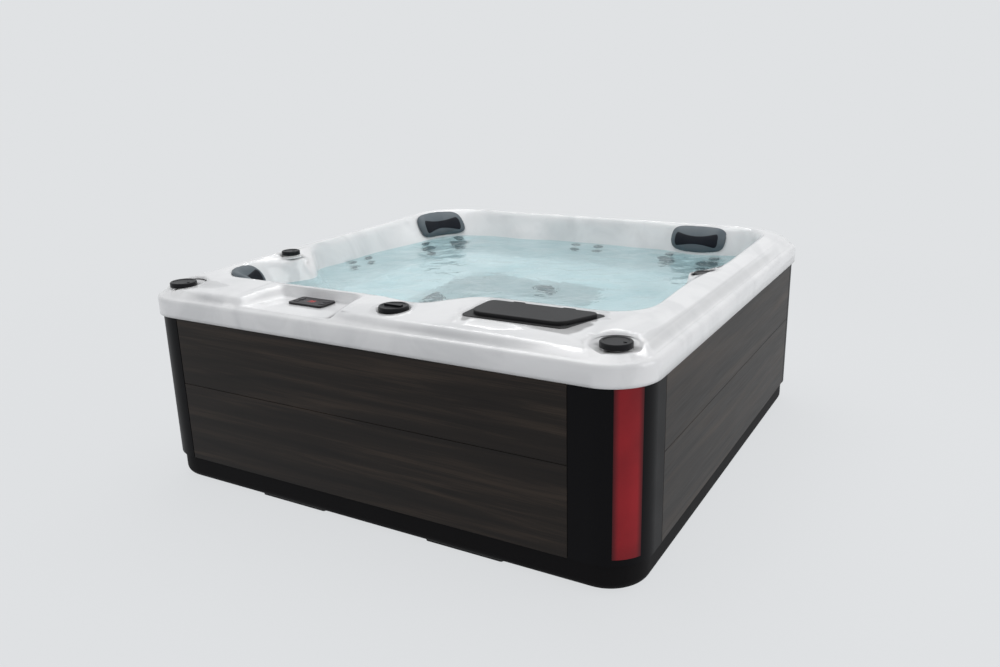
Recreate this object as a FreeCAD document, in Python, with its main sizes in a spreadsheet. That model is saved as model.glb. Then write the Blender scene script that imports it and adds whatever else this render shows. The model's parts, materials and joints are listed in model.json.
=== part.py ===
import FreeCAD, Part
import math
import os
from types import SimpleNamespace

import Sketcher

# Hot tub for five: a moulded acrylic shell in a square cabinet of boards and rounded corner covers.
# Lengths are millimetres. The origin is on the floor under the middle of the tub, +Z is up,
# the control side faces -Y and the filter stands at the +X end of that side.

Vector = FreeCAD.Vector
Rotation = FreeCAD.Rotation
Placement = FreeCAD.Placement

SIZES = {
    # rim of the shell, from the lip inwards
    "rim_side": 2000, "rim_corner": 160, "lip_bottom": 668, "lip_height": 70, "lip_round": 12,
    "ledge_width": 22, "riser_width": 22, "riser_height": 30, "deck_round": 12,
    "deck_rise_front": 12, "deck_rise_back": 30, "shell_wall": 6,
    # inner edge of the deck, measured from the middle of the tub
    "edge_left": 885, "edge_right": 885, "edge_step": 37, "edge_back": 895, "edge_control": 745,
    "edge_filter": 605, "edge_corner_front": 165, "edge_corner_filter": 150, "edge_corner_right": 170,
    "edge_corner_left": 230, "filter_pad_start": 150, "filter_pad_blend": 120,
    "notch_depth": 28, "notch_half": 150,
    # lowered pad under the control panel, wider towards the rim, with sides that lean outwards
    "pad_middle": -300, "pad_half": 160, "pad_spread": 40, "pad_lean": 0.7, "pad_back_lean": 0.25,
    "pad_corner": 20, "pad_back": 785, "pad_lift": 4,
    # shelves under the side knobs, leaning backrests behind the headrests, ridges between seats
    "shelf_depth": 90, "left_shelf_drop": 13, "right_shelf_drop": 38, "shelf_half": 150,
    "backrest_depth": 62, "backrest_half": 250, "backrest_angle": 30, "backrest_front": 0.4,
    "bolster_depth": 38, "bolster_half": 130, "bolster_place": 325,
    # seats and footwell
    "seat_right": 385, "seat_back_right": 335, "seat_back": 330, "seat_back_left": 365,
    "seat_left": 315, "seat_front_left": 350, "seat_front": 340, "seat_filter": 400,
    "seat_run": 350, "well_left": 390, "well_right": 330, "well_front": 440, "well_back": 390,
    "well_corner": 150, "well_floor": 78, "drain_radius": 26,
    # cabinet
    "panel_inset": 12, "panel_thick": 18, "panel_bottom": 105, "panel_tuck": 12, "board_seam": 410,
    "seam_gap": 1, "board_bevel": 1.5, "cover_gap": 2, "cover_corner": 150, "cover_wall": 5,
    "lit_cover_span": 217, "plain_cover_span": 160, "lens_span": 36, "lens_gap": 0.5, "lens_wall": 4,
    "lens_bottom": 127, "light_bar_span": 14, "light_bar_thick": 6, "seat_gap": 0.3,
    # base and frame
    "foot_height": 12, "foot_length": 300, "foot_width": 70, "foot_place": 370, "foot_round": 10,
    "pan_inset": 12, "pan_wall": 5, "pan_round": 28,
    "post_side": 35, "post_place": 720, "post_top": 740, "rail_height": 40, "rail_low": 150,
    "rail_high": 610, "rail_lap": 20, "support_side": 340,
    # knobs and their valves
    "corner_knob_x": 878, "corner_knob_y": 890, "left_knob_x": 848, "left_knob_y": 335,
    "right_knob_x": 838, "right_knob_y": 45, "diverter_x": 85, "diverter_y": 866,
    "corner_knob_radius": 49, "side_knob_radius": 38, "diverter_radius": 51, "knob_height": 17,
    "knob_gap": 1, "grip_width": 14, "grip_height": 4, "index_length": 10, "index_width": 4,
    "knob_dish": 2, "knob_round": 3, "stem_radius": 9, "stem_length": 30, "stem_clearance": 0.05,
    "valve_radius": 25, "valve_depth": 60, "flange_radius": 34, "flange_height": 5, "hole_clearance": 0.5,
    "corner_cup_radius": 72, "corner_cup_wall": 20, "corner_cup_lean": 0.7, "corner_floor_lift": 18,
    "cup_margin": 6, "cup_wall": 12, "cup_lean": 0.15, "cup_depth": 16,
    # filter
    "filter_left": 325, "filter_right": 765, "filter_front": 845, "filter_back": 655, "filter_slant": 75,
    "filter_corner": 28, "filter_sink": 3, "frame_thick": 12, "bucket_x": 385, "bucket_length": 300,
    "bucket_front": 818, "bucket_width": 140, "bucket_wall": 4, "bucket_depth": 400, "lid_margin": 18,
    "lid_gap": 1.5, "lid_thick": 11, "lid_back": 7, "lid_front_corner": 55, "lid_back_corner": 25,
    "lid_round": 4, "hinge_margin": 11, "hinge_radius": 5,
    "pin_radius": 2.5, "pin_clearance": 0.1, "knuckle_width": 18, "ear_width": 10, "ear_gap": 1,
    "hinge_spread": 90, "cartridge_radius": 58, "cartridge_height": 250, "core_radius": 22,
    "pleat_depth": 9, "pleats": 28, "end_cap_height": 12, "skimmer_width": 180, "skimmer_height": 70,
    "skimmer_top": 715, "skimmer_reach": 55, "skimmer_wall": 4, "skimmer_slat": 5,
    # control panel
    "bezel_length": 152, "bezel_width": 82, "bezel_thick": 7, "bezel_corner": 10, "bezel_y": 830,
    "housing_length": 130, "housing_width": 56, "housing_depth": 30, "window_length": 66,
    "window_width": 34, "window_depth": 3, "button_length": 22, "button_width": 18, "button_proud": 1.6,
    "button_travel": 1.2, "button_spread": 57, "button_pitch": 26, "button_depth": 4,
    "button_clearance": 0.3,
    # headrests
    "rest_left_angle": 138, "rest_right_x": 595, "rest_front_angle": 219, "rest_length": 262,
    "rest_middle": 733, "rest_rise": 108, "rest_thick": 40, "rest_clear": 0.4,
    "peg_radius": 7, "peg_length": 40, "peg_spread": 90, "insert_length": 208,
    "insert_height": 70, "insert_waist": 44, "insert_drop": 4, "insert_thick": 2.5,
    # jets and footwell fittings
    "jet_bore": 24, "jet_radius": 31, "jet_flange": 45, "jet_depth": 60, "jet_sleeve": 22, "jet_lip": 3,
    "jet_face_height": 7, "jet_nozzle": 9, "jet_row": 540, "jet_pitch": 85, "jet_turn": 5.5,
    "fitting_lift": 2, "small_jet_radius": 17, "small_jet_flange": 26, "small_jet_depth": 45,
    "small_jet_bore": 10, "suction_radius": 58, "suction_dome": 16, "suction_pipe": 30,
    "suction_depth": 50, "light_radius": 48, "drain_depth": 40, "well_jet_row": 210,
    # pumps and pipes
    "pump_radius": 78, "pump_length": 270, "pump_y": 830, "pump_z": 210, "inlet_length": 40,
    "pump_left": -470, "pump_right": 295, "wet_end_length": 95, "wet_end_radius": 72, "pipe_radius": 25,
    "pipe_bend": 60, "pipe_room": 270, "manifold_z": 420, "box_left": -170, "box_length": 260,
    "box_depth": 100, "box_height": 250, "heater_radius": 32, "heater_length": 300,
}


class Size:
    """A length that carries its number and the sheet formula that it comes from."""

    def __init__(self, value, text):
        self.value = float(value)
        self.text = text

    def __add__(self, other):
        other = sized(other)
        return Size(self.value + other.value, f"({self.text} + {other.text})")

    def __sub__(self, other):
        other = sized(other)
        return Size(self.value - other.value, f"({self.text} - {other.text})")

    def __mul__(self, other):
        other = sized(other)
        return Size(self.value * other.value, f"({self.text} * {other.text})")

    def __truediv__(self, other):
        other = sized(other)
        return Size(self.value / other.value, f"({self.text} / {other.text})")

    def __radd__(self, other):
        return sized(other) + self

    def __rsub__(self, other):
        return sized(other) - self

    def __rmul__(self, other):
        return sized(other) * self

    def __neg__(self):
        return sized(0) - self


def sized(number):
    """Return a Size for a plain number, or the Size itself."""
    return number if isinstance(number, Size) else Size(number, repr(float(number)))


doc = FreeCAD.newDocument("hot_tub")
sheet = doc.addObject("Spreadsheet::Sheet", "dims")
for row, (name, number) in enumerate(SIZES.items(), 1):
    sheet.set(f"A{row}", name)
    sheet.set(f"B{row}", str(number))
    sheet.setAlias(f"B{row}", name)
doc.recompute()
s = SimpleNamespace(**{name: Size(sheet.get(name), f"dims.{name}") for name in SIZES})
v = SimpleNamespace(**{name: float(sheet.get(name)) for name in SIZES})

nodes = {}


def keep(label, thing):
    """Give a finished piece its name and put it on the list of pieces."""
    thing.Label = label
    nodes[label] = thing
    return thing


def bind(thing, **sizes):
    """Bind properties to sizes; a double underscore stands for a dot."""
    for name, size in sizes.items():
        thing.setExpression(name.replace("__", "."), sized(size).text)


def move(thing, x, y, z, rotation=None):
    """Place a piece, with its position bound to sizes."""
    if rotation is not None:
        thing.Placement = Placement(Vector(), rotation)
    bind(thing, Placement__Base__x=x, Placement__Base__y=y, Placement__Base__z=z)
    return thing


def box(label, x, y, z, length, width, height):
    block = doc.addObject("Part::Box", label)
    bind(block, Length=length, Width=width, Height=height)
    return move(block, x, y, z)


def rod(label, x, y, z, radius, height, rotation=None):
    bar = doc.addObject("Part::Cylinder", label)
    bind(bar, Radius=radius, Height=height)
    return move(bar, x, y, z, rotation)


def boolean(kind, label, base, tool):
    result = doc.addObject(f"Part::{kind}", label)
    result.Base = base
    result.Tool = tool
    return result


def group(label, things):
    """Several separate solids that share one name."""
    bundle = doc.addObject("Part::Compound", label)
    bundle.Links = things
    return keep(label, bundle)


def body(label):
    return doc.addObject("PartDesign::Body", label)


def sketch(part, name, role, points, lift=None):
    """A closed outline of straight lines, every corner pinned to sizes."""
    drawing = part.newObject("Sketcher::SketchObject", f"{part.Name}_{name}")
    plane = next(f for f in part.Origin.OriginFeatures if f.Role == role)
    drawing.AttachmentSupport = [(plane, "")]
    drawing.MapMode = "FlatFace"
    if lift is not None:
        bind(drawing, AttachmentOffset__Base__z=lift)
    points = [(sized(a), sized(b)) for a, b in points]
    ends = [Vector(a.value, b.value, 0) for a, b in points]
    for start, end in zip(ends, ends[1:] + ends[:1]):
        drawing.addGeometry(Part.LineSegment(start, end), False)
    for index in range(len(ends)):
        follower = (index + 1) % len(ends)
        drawing.addConstraint(Sketcher.Constraint("Coincident", index, 2, follower, 1))
    for index, (a, b) in enumerate(points):
        pin(drawing, index, "DistanceX", a, -2)
        pin(drawing, index, "DistanceY", b, -1)
    return drawing


def pin(drawing, index, kind, size, axis):
    """Hold the start of one line at a size from the axis, or on the axis where the size is nil."""
    if size.value == 0:
        drawing.addConstraint(Sketcher.Constraint("PointOnObject", index, 1, axis))
        return
    row = drawing.addConstraint(Sketcher.Constraint(kind, -1, 1, index, 1, size.value))
    drawing.setExpression(f"Constraints[{row}]", size.text)


def feature(part, kind, name, profile, **sizes):
    step = part.newObject(f"PartDesign::{kind}", f"{part.Name}_{name}")
    step.Profile = profile
    bind(step, **sizes)
    doc.recompute()
    return step


def turned(label, points):
    """A piece turned about its own Z axis from an outline of radius and height."""
    part = body(label)
    outline = sketch(part, "outline", "XZ_Plane", points)
    step = part.newObject("PartDesign::Revolution", f"{label}_turn")
    step.Profile = outline
    step.ReferenceAxis = (outline, ["V_Axis"])
    step.Angle = 360
    doc.recompute()
    return part


def slab(label, points, height, lift=None):
    """A plate of a straight-sided outline, raised along Z."""
    part = body(label)
    outline = sketch(part, "outline", "XY_Plane", points, lift)
    feature(part, "Pad", "plate", outline, Length=height)
    return part


def oblong(length, width, x=0, y=0):
    """Corners of a rectangle about a point."""
    return [(x - length / 2, y - width / 2), (x + length / 2, y - width / 2),
            (x + length / 2, y + width / 2), (x - length / 2, y + width / 2)]


def round_edges(part, name, radius, chosen, kind="Fillet"):
    """Round or bevel the edges of the last step that the test picks."""
    base = part.Tip
    edges = [f"Edge{i}" for i, edge in enumerate(base.Shape.Edges, 1) if chosen(edge)]
    step = part.newObject(f"PartDesign::{kind}", f"{part.Name}_{name}")
    step.Base = (base, edges)
    bind(step, **{"Radius" if kind == "Fillet" else "Size": radius})
    doc.recompute()
    return step


def upright(edge):
    first, last = edge.Vertexes[0].Point, edge.Vertexes[-1].Point
    return abs(first.x - last.x) + abs(first.y - last.y) < 1e-6 and abs(first.z - last.z) > 1e-6


def upright_at(x, y):
    """Test for the upright edge that stands on one point of the plan."""
    def chosen(edge):
        point = edge.Vertexes[0].Point
        return upright(edge) and math.hypot(point.x - x, point.y - y) < 0.01
    return chosen


def level_at(z):
    """Test for edges that lie wholly at one height."""
    return lambda edge: all(abs(vertex.Z - z) < 0.01 for vertex in edge.Vertexes)


def pocket(part, name, points, lift, depth, upwards=False):
    """Cut a straight-sided hole downwards from a height, or upwards from it."""
    outline = sketch(part, name, "XY_Plane", points, lift)
    before = part.Shape.Volume
    step = part.newObject("PartDesign::Pocket", f"{part.Name}_{name}_cut")
    step.Profile = outline
    step.Reversed = upwards
    bind(step, Length=depth)
    doc.recompute()
    if part.Shape.Volume >= before:
        raise ValueError(f"{part.Name}: {name} cuts nothing")
    return step


def formed(label, shape):
    """A free-form piece whose shape is worked out below."""
    piece = doc.addObject("Part::Feature", label)
    piece.Shape = shape
    return keep(label, piece)


def outwards(solid):
    """A solid whose faces look away from its inside."""
    if solid.Volume < 0:
        solid.reverse()
    return solid


def copies(label, master, places):
    """Separate copies of one piece under one name."""
    solids = []
    for place in places:
        solid = master.Shape.copy()
        solid.Placement = place.multiply(master.Shape.Placement)
        solids.append(solid)
    return formed(label, Part.makeCompound(solids) if len(solids) > 1 else solids[0])


# Heights and half sizes that several pieces share

half = s.rim_side / 2
face = half - s.panel_inset
panel_back = face - s.panel_thick
lip_top = s.lip_bottom + s.lip_height
deck_outer = lip_top + s.riser_height
cabinet_top = s.lip_bottom + s.panel_tuck
pan_half = face - s.pan_inset
pan_floor = s.foot_height + s.pan_wall
pan_height = s.panel_bottom - s.foot_height - s.seat_gap
post_face = pan_half - s.pan_round - 1
QUARTERS = ("front", "right", "back", "left")


def turn_quarter(x, y, quarter):
    """A place on the front side, carried round to another side."""
    return [(x, y), (-y, x), (-x, -y), (y, -x)][quarter]


# Base: a tray on foot pads, with posts and rails that carry the boards

def make_foot(label, quarter, side):
    foot = slab(label, oblong(s.foot_length, s.foot_width), s.foot_height)
    round_edges(foot, "corners", s.foot_round, upright)
    x, y = turn_quarter(s.foot_place * side, s.pan_round + s.foot_width / 2 - pan_half, quarter)
    return move(foot, x, y, 0, Rotation(Vector(0, 0, 1), 90 * quarter))


group("foot_pads", [make_foot(f"foot_{name}_{side + 1}", quarter, side)
                    for quarter, name in enumerate(QUARTERS) for side in (-1, 1)])

pan = slab("base_tray", oblong(2 * pan_half, 2 * pan_half), pan_height)
round_edges(pan, "corners", s.cover_corner - s.pan_inset, upright)
round_edges(pan, "bottom", s.pan_round, level_at(0))
block = pan.Tip
open_face = next(i for i, f in enumerate(block.Shape.Faces, 1) if f.CenterOfMass.z > pan_height.value - 0.01)
hollow = pan.newObject("PartDesign::Thickness", "base_tray_hollow")
hollow.Base = (block, [f"Face{open_face}"])
hollow.Reversed = True
bind(hollow, Value=s.pan_wall)
move(pan, 0, 0, s.foot_height)
keep("base_pan", pan)

posts = []
rails = []
for quarter, name in enumerate(QUARTERS):
    for side in (-1, 1):
        x, y = turn_quarter(s.post_place * side, s.post_side / 2 - post_face, quarter)
        posts.append(box(f"post_{name}_{side + 1}", x - s.post_side / 2, y - s.post_side / 2, pan_floor,
                         s.post_side, s.post_side, s.post_top - pan_floor))
    length = 2 * (face - s.plain_cover_span + s.rail_lap)
    thick = panel_back - post_face
    x, y = turn_quarter(0, -(panel_back + post_face) / 2, quarter)
    run, deep = (length, thick) if quarter % 2 == 0 else (thick, length)
    for height, place in ((s.rail_low, "low"), (s.rail_high, "high")):
        rails.append(box(f"rail_{name}_{place}", x - run / 2, y - deep / 2, height, run, deep, s.rail_height))
group("frame_posts", posts)
group("panel_rails", rails)

# Cabinet: two boards on each side, a rounded cover on each corner, a light in the front right one

COVER_SPANS = (s.lit_cover_span, s.plain_cover_span, s.plain_cover_span, s.plain_cover_span)


def make_board(label, quarter, bottom, top):
    """One board, drawn flat with its face up and then stood against the rails."""
    start = COVER_SPANS[quarter - 1] + s.cover_gap - face
    end = face - COVER_SPANS[quarter] - s.cover_gap
    board = slab(label, oblong(end - start, top - bottom), s.panel_thick)
    round_edges(board, "bevel", s.board_bevel, level_at(v.panel_thick), "Chamfer")
    x, y = turn_quarter((start + end) / 2, -panel_back, quarter)
    stand = Rotation(Vector(0, 0, 1), 90 * quarter).multiply(Rotation(Vector(1, 0, 0), 90))
    return move(board, x, y, (bottom + top) / 2, stand)


for quarter, name in enumerate(QUARTERS):
    lower = make_board(f"{name}_lower_board", quarter, s.panel_bottom, s.board_seam - s.seam_gap / 2)
    upper = make_board(f"{name}_upper_board", quarter, s.board_seam + s.seam_gap / 2, cabinet_top)
    group(f"{name}_panel", [lower, upper])


def make_cover(label, span):
    """A bent cover with its corner on the Z axis, its legs along -X and +Y and a return at each end."""
    wall = s.cover_wall
    deep = s.panel_thick
    outline = [(-span, 0), (0, 0), (0, span), (-deep, span), (-deep, span - wall), (-wall, span - wall),
               (-wall, wall), (wall - span, wall), (wall - span, deep), (-span, deep)]
    cover = slab(label, outline, cabinet_top - s.panel_bottom)
    round_edges(cover, "outside", s.cover_corner, upright_at(0, 0))
    inner = s.cover_corner - wall
    round_edges(cover, "inside", inner, upright_at(-v.cover_wall, v.cover_wall))
    return cover


def sector(label, radius, span, bottom, top):
    """A pie slice about the middle of the lit cover's bend."""
    slice_ = rod(label, face - s.cover_corner, s.cover_corner - face, bottom, radius, top - bottom,
                 Rotation(Vector(0, 0, 1), -45 - span.value / 2))
    bind(slice_, Angle=span)
    return slice_


lens_top = s.lip_bottom + s.panel_tuck / 2
for quarter, corner in enumerate(("front_right", "back_right", "back_left", "front_left")):
    cover = make_cover(f"{corner}_bend", COVER_SPANS[quarter])
    x, y = turn_quarter(face, -face, quarter)
    move(cover, x, y, s.panel_bottom, Rotation(Vector(0, 0, 1), 90 * quarter))
    if quarter == 0:
        window = sector("lens_window", s.cover_corner + s.cover_wall, s.lens_span, s.lens_bottom, lens_top)
        cover = boolean("Cut", "front_right_cover", cover, window)
    keep(f"corner_cover_{corner}", cover)

lens_angle = s.lens_span - 2 * math.degrees(v.lens_gap / v.cover_corner)
lens_ends = (s.lens_bottom + s.lens_gap, lens_top - s.lens_gap)
lens = sector("lens_outside", s.cover_corner, lens_angle, *lens_ends)
lens_inner = s.cover_corner - s.cover_wall
lens_inside = sector("lens_inside", lens_inner, lens_angle, *lens_ends)
keep("corner_light_lens", boolean("Cut", "lens", lens, lens_inside))
bar_outer = lens_inner - s.seat_gap
bar_ends = (s.lens_bottom - s.lens_wall, lens_top + s.lens_wall)
bar_angle = s.lens_span + s.light_bar_span
bar = sector("light_bar_outside", bar_outer, bar_angle, *bar_ends)
bar_inside = sector("light_bar_inside", bar_outer - s.light_bar_thick, bar_angle, *bar_ends)
keep("corner_light_bar", boolean("Cut", "light_bar", bar, bar_inside))

# Shell: rings from the lip over the deck, down the wall to the seats and into the footwell, joined by
# narrow strips; the underside is the same form, one wall thickness below

SIDE_POINTS = (15, 9, 9, 9)
CORNER_POINTS = 4
RING = sum(SIDE_POINTS) + 4 * CORNER_POINTS
WELL_MIDDLE = Vector((v.well_right - v.well_left) / 2, (v.well_back - v.well_front) / 2, 0)
EDGE_CORNERS = (v.edge_corner_filter, v.edge_corner_right, v.edge_corner_left, v.edge_corner_front)


def smooth(t):
    t = max(0.0, min(1.0, t))
    return t * t * (3 - 2 * t)


def bump(x, middle, reach):
    """A soft hump of height one about a middle."""
    t = min(1.0, abs(x - middle) / reach)
    return 0.5 * (1 + math.cos(math.pi * t))


def at_height(point, z):
    return Vector(point.x, point.y, z)


def station(index):
    """The side of a ring point, with its share of the straight or of the corner after it."""
    for side, count in enumerate(SIDE_POINTS):
        if index < count:
            return side, index / count, None
        index -= count
        if index < CORNER_POINTS:
            return side, None, index / CORNER_POINTS
        index -= CORNER_POINTS


BREAKS = [i for i in range(RING) if 0 in station(i)[1:]] + [RING]


def rounded(index, left, right, front, back, radii):
    """Point of a rounded rectangle, counted along the front, the right, the back and the left."""
    side, along, turn = station(index)
    radius = radii[side]
    if turn is None:
        before = radii[side - 1]
        starts = ((left + before, front), (right, front + before),
                  (right - before, back), (left, back - before))
        ends = ((right - radius, front), (right, back - radius),
                (left + radius, back), (left, front + radius))
        start, end = Vector(*starts[side], 0), Vector(*ends[side], 0)
        return start + (end - start) * along
    x = right - radius if side < 2 else left + radius
    y = front + radius if side in (0, 3) else back - radius
    angle = math.radians(90 * (side - 1 + turn))
    return Vector(x + radius * math.cos(angle), y + radius * math.sin(angle), 0)


def rim_point(index, inset):
    """Point of the outer rim, moved inwards."""
    reach = v.rim_side / 2 - inset
    return rounded(index, -reach, reach, -reach, reach, [max(v.rim_corner - inset, v.deck_round)] * 4)


def edge_point(index):
    """Point of the inner edge of the deck."""
    side, along, turn = station(index)
    at_filter = side == 1 or (side == 0 and turn is not None)
    front = -v.edge_filter if at_filter else -v.edge_control
    right = v.edge_right - v.edge_step if side == 0 else v.edge_right
    point = rounded(index, -v.edge_left, right, front, v.edge_back, EDGE_CORNERS)
    if side == 0 and along is not None:
        blend = smooth((point.x - v.filter_pad_start) / v.filter_pad_blend)
        point.y += (v.edge_control - v.edge_filter) * blend
        point.y -= v.notch_depth * bump(point.x, v.diverter_x, v.notch_half)
    if side == 1 and along is not None:
        point.x -= v.edge_step * (1 - smooth((point.y + v.edge_filter / 4) / (v.edge_filter / 2)))
    return point


edge = [edge_point(i) for i in range(RING)]
well = [rounded(i, -v.well_left, v.well_right, -v.well_front, v.well_back, [v.well_corner] * 4)
        for i in range(RING)]
bearing = [math.degrees(math.atan2(p.y, p.x)) % 360 for p in edge]


def inwards(ring, index):
    """Direction to the water: mostly square to the ring, partly to the footwell."""
    chord = ring[(index + 1) % RING] - ring[index - 1]
    square = Vector(-chord.y, chord.x, 0).normalize()
    middle = WELL_MIDDLE - ring[index]
    return (square * 2 + middle.normalize()).normalize()


edge_in = [inwards(edge, i) for i in range(RING)]
well_in = [inwards(well, i) for i in range(RING)]


def crest_height(point):
    rise = 0.5 * smooth((point.y + 700) / 700) + 0.5 * smooth((point.y - 200) / 650)
    return deck_outer.value + v.deck_rise_front + (v.deck_rise_back - v.deck_rise_front) * rise


def shelf_share(point):
    """How far a point belongs to the shelf under a side knob."""
    middle = -v.left_knob_y if point.x < 0 else v.right_knob_y
    return bump(point.y, middle, v.shelf_half)


def backrest_share(point, angle):
    """How far a point belongs to a wall that leans behind a headrest."""
    lounger = bump(point.x, v.rest_right_x, v.backrest_half) if point.y > v.edge_back / 2 else 0
    corners = bump(angle, v.rest_left_angle, v.backrest_angle)
    corners += v.backrest_front * bump(angle, v.rest_front_angle, v.backrest_angle)
    return min(1, lounger + corners)


def bolster_share(point):
    """How far a point belongs to a ridge between two seats of the back wall."""
    if point.y < v.edge_back - v.bolster_half:
        return 0
    return max(bump(point.x, place, v.bolster_half) for place in (-v.bolster_place, v.bolster_place))


def seat_height(angle):
    heights = (v.seat_right, v.seat_back_right, v.seat_back, v.seat_back_left, v.seat_left,
               v.seat_front_left, v.seat_front, v.seat_filter, v.seat_right)
    first = int(angle // 45)
    return heights[first] + (heights[first + 1] - heights[first]) * smooth(angle / 45 - first)


crest = [crest_height(p) for p in edge]
shelf = [shelf_share(p) if station(i)[0] in (1, 3) else 0 for i, p in enumerate(edge)]
backrest = [backrest_share(p, a) for p, a in zip(edge, bearing)]
bolster = [bolster_share(p) for p in edge]
seat = [seat_height(a) for a in bearing]


def rim_path():
    """Lip, ledge and riser as distances from the rim and heights."""
    top, curl = lip_top.value, v.lip_round
    foot = v.ledge_width
    head = v.ledge_width + v.riser_width
    rise = deck_outer.value
    return [(0, v.lip_bottom), (0, top - curl), (0.3 * curl, top - 0.3 * curl), (curl, top), (foot, top + 1),
            (head, rise - 3), (head + 0.4 * v.deck_round, rise - 0.5), (head + v.deck_round, rise + 1)]


def deck_rings(start):
    """Deck that swells from the riser up to the crest."""
    rings = []
    for share, swell, drop in ((0.3, 0.55, 0), (0.6, 0.87, 0), (0.86, 1, 0), (0.95, 1, 0.6), (1, 1, 4)):
        rings.append([at_height(start[i] + (edge[i] - start[i]) * share,
                                start[i].z + (crest[i] - start[i].z) * swell - drop) for i in range(RING)])
    return rings


KNEE = 48
FORWARD = 1
room = [min(1, (p.distanceToPoint(q) - KNEE) / v.seat_run) for p, q in zip(edge, well)]


def wall_ring(inset, lean, height):
    """A ring of the wall; the lean is for shelf, backrest and bolster, the height for each point."""
    ring = []
    for i in range(RING):
        depth = min(inset, KNEE) + max(0, inset - KNEE) * room[i]
        depth += lean[0] * shelf[i] + lean[1] * backrest[i] + lean[2] * bolster[i]
        ring.append(at_height(edge[i] + edge_in[i] * depth, height(i)))
    return ring


def wall_rings():
    """Wall from the crest down to the seats."""
    ledge, back, ridge = v.shelf_depth, v.backrest_depth, v.bolster_depth
    return [wall_ring(9, (0.65 * ledge, 0.05 * back, 0), lambda i: crest[i] - 13 - 7 * shelf[i]),
            wall_ring(15, (0.95 * ledge, 0.2 * back, 0), lambda i: crest[i] - 34 + 10 * shelf[i]),
            wall_ring(30, (ledge, back, 0.8 * ridge), lambda i: v.lip_bottom + 17),
            wall_ring(KNEE, (1.1 * ledge, 1.3 * back, ridge), lambda i: v.lip_bottom - 68),
            wall_ring(80, (ledge, 1.45 * back, ridge), lambda i: seat[i] + 120),
            wall_ring(96, (0.9 * ledge, 1.5 * back, ridge), lambda i: seat[i] + 62),
            wall_ring(122, (0.8 * ledge, 1.5 * back, ridge), lambda i: seat[i] + 22),
            wall_ring(160, (0.6 * ledge, 1.4 * back, 0.8 * ridge), lambda i: seat[i] + 3)]


def seat_rings(start):
    """Seats, rounded edge and wall of the footwell, and the edge of its flat floor."""
    rings = [[at_height(start[i] + (well[i] - start[i]) * share, seat[i] + lift) for i in range(RING)]
             for share, lift in ((0.3, 0), (0.6, 0), (0.88, 0))]
    floor = v.well_floor
    for inset, drop in ((-6, 6), (3, 24)):
        rings.append([at_height(well[i] + well_in[i] * inset, seat[i] - drop) for i in range(RING)])
    for inset, lift in ((20, 90), (32, 32), (52, 9), (82, 0)):
        rings.append([at_height(well[i] + well_in[i] * inset, floor + lift) for i in range(RING)])
    return rings


def floor_face(loop):
    """Flat floor of the footwell inside a loop, with the hole of the drain."""
    height = loop[0].Vertexes[0].Z
    hole = Part.makeCircle(v.drain_radius, at_height(WELL_MIDDLE, height))
    sheet_face = Part.Face(Part.Wire(loop))
    return sheet_face.cut(Part.Face(Part.Wire(hole))).Faces[0]


def path_below(path, wall):
    """A path of distances and heights, moved square to itself by the wall thickness."""
    moved = [(path[0][0] + wall, path[0][1])]
    for before, here, after in zip(path, path[1:], path[2:] + path[-1:]):
        run, rise = after[0] - before[0], after[1] - before[1]
        length = math.hypot(run, rise)
        moved.append((here[0] + wall * rise / length, here[1] - wall * run / length))
    return moved


def rings_below(rings, before, wall):
    """Free rings, moved square to the surface by the wall thickness."""
    lowered = []
    for k, ring in enumerate(rings):
        above, below = rings[k - 1] if k else before, rings[min(k + 1, len(rings) - 1)]
        level = []
        for i in range(RING):
            normal = (ring[(i + 1) % RING] - ring[i - 1]).cross(below[i] - above[i]).normalize()
            level.append(ring[i] - normal * wall)
        lowered.append(level)
    lowered[-1] = [at_height(p, v.well_floor - wall) for p in rings[-1]]
    return lowered


def rim_edges(inset, z):
    """Straight sides and round corners of the rim."""
    edges = []
    for first, last in zip(BREAKS, BREAKS[1:]):
        start, end = (at_height(rim_point(i % RING, inset), z) for i in (first, last))
        if station(first)[2] is None:
            edges.append(Part.LineSegment(start, end).toShape())
        else:
            middle = at_height(rim_point((first + last) // 2, inset), z)
            edges.append(Part.Arc(start, middle, end).toShape())
    return edges


def shares(ring):
    """The share of a ring's length from each point to the next."""
    steps = [here.distanceToPoint(there) for here, there in zip(ring, ring[1:] + ring[:1])]
    return [step / sum(steps) for step in steps]


MARKS = [0.0]
for outer_share, inner_share in zip(shares(edge), shares(well)):
    MARKS.append(MARKS[-1] + outer_share + inner_share)


def free_edges(ring):
    """A smooth closed curve through the points of a ring, cut where the sides and corners meet."""
    curve = Part.BSplineCurve()
    curve.interpolate(Points=ring, Parameters=MARKS, PeriodicFlag=True)
    return [Part.Edge(curve, MARKS[first], MARKS[last]) for first, last in zip(BREAKS, BREAKS[1:])]


def strips(loops):
    """Faces between neighbouring rings."""
    return [face for one, two in zip(loops, loops[1:]) for a, b in zip(one, two)
            for face in Part.makeRuledSurface(a, b, FORWARD).Faces]


path = rim_path()
deck_start = [at_height(rim_point(i, path[-1][0]), path[-1][1]) for i in range(RING)]
free_rings = deck_rings(deck_start)
free_rings += wall_rings()
free_rings += seat_rings(free_rings[-1])
upper = [rim_edges(*place) for place in path] + [free_edges(ring) for ring in free_rings]
lower = [rim_edges(*place) for place in path_below(path, v.shell_wall)]
lower += [free_edges(ring) for ring in rings_below(free_rings, deck_start, v.shell_wall)]
drain_foot = at_height(WELL_MIDDLE, v.well_floor - v.shell_wall)
drain_wall = Part.makeCylinder(v.drain_radius, v.shell_wall, drain_foot)
faces = strips(upper) + strips(lower) + strips([upper[0], lower[0]])
faces += [floor_face(upper[-1]), floor_face(lower[-1]), drain_wall.Faces[0]]
skin = Part.Compound(faces)
skin.sewShape()
basin = outwards(Part.makeSolid(skin if skin.ShapeType == "Shell" else skin.Shells[0]))


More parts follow.
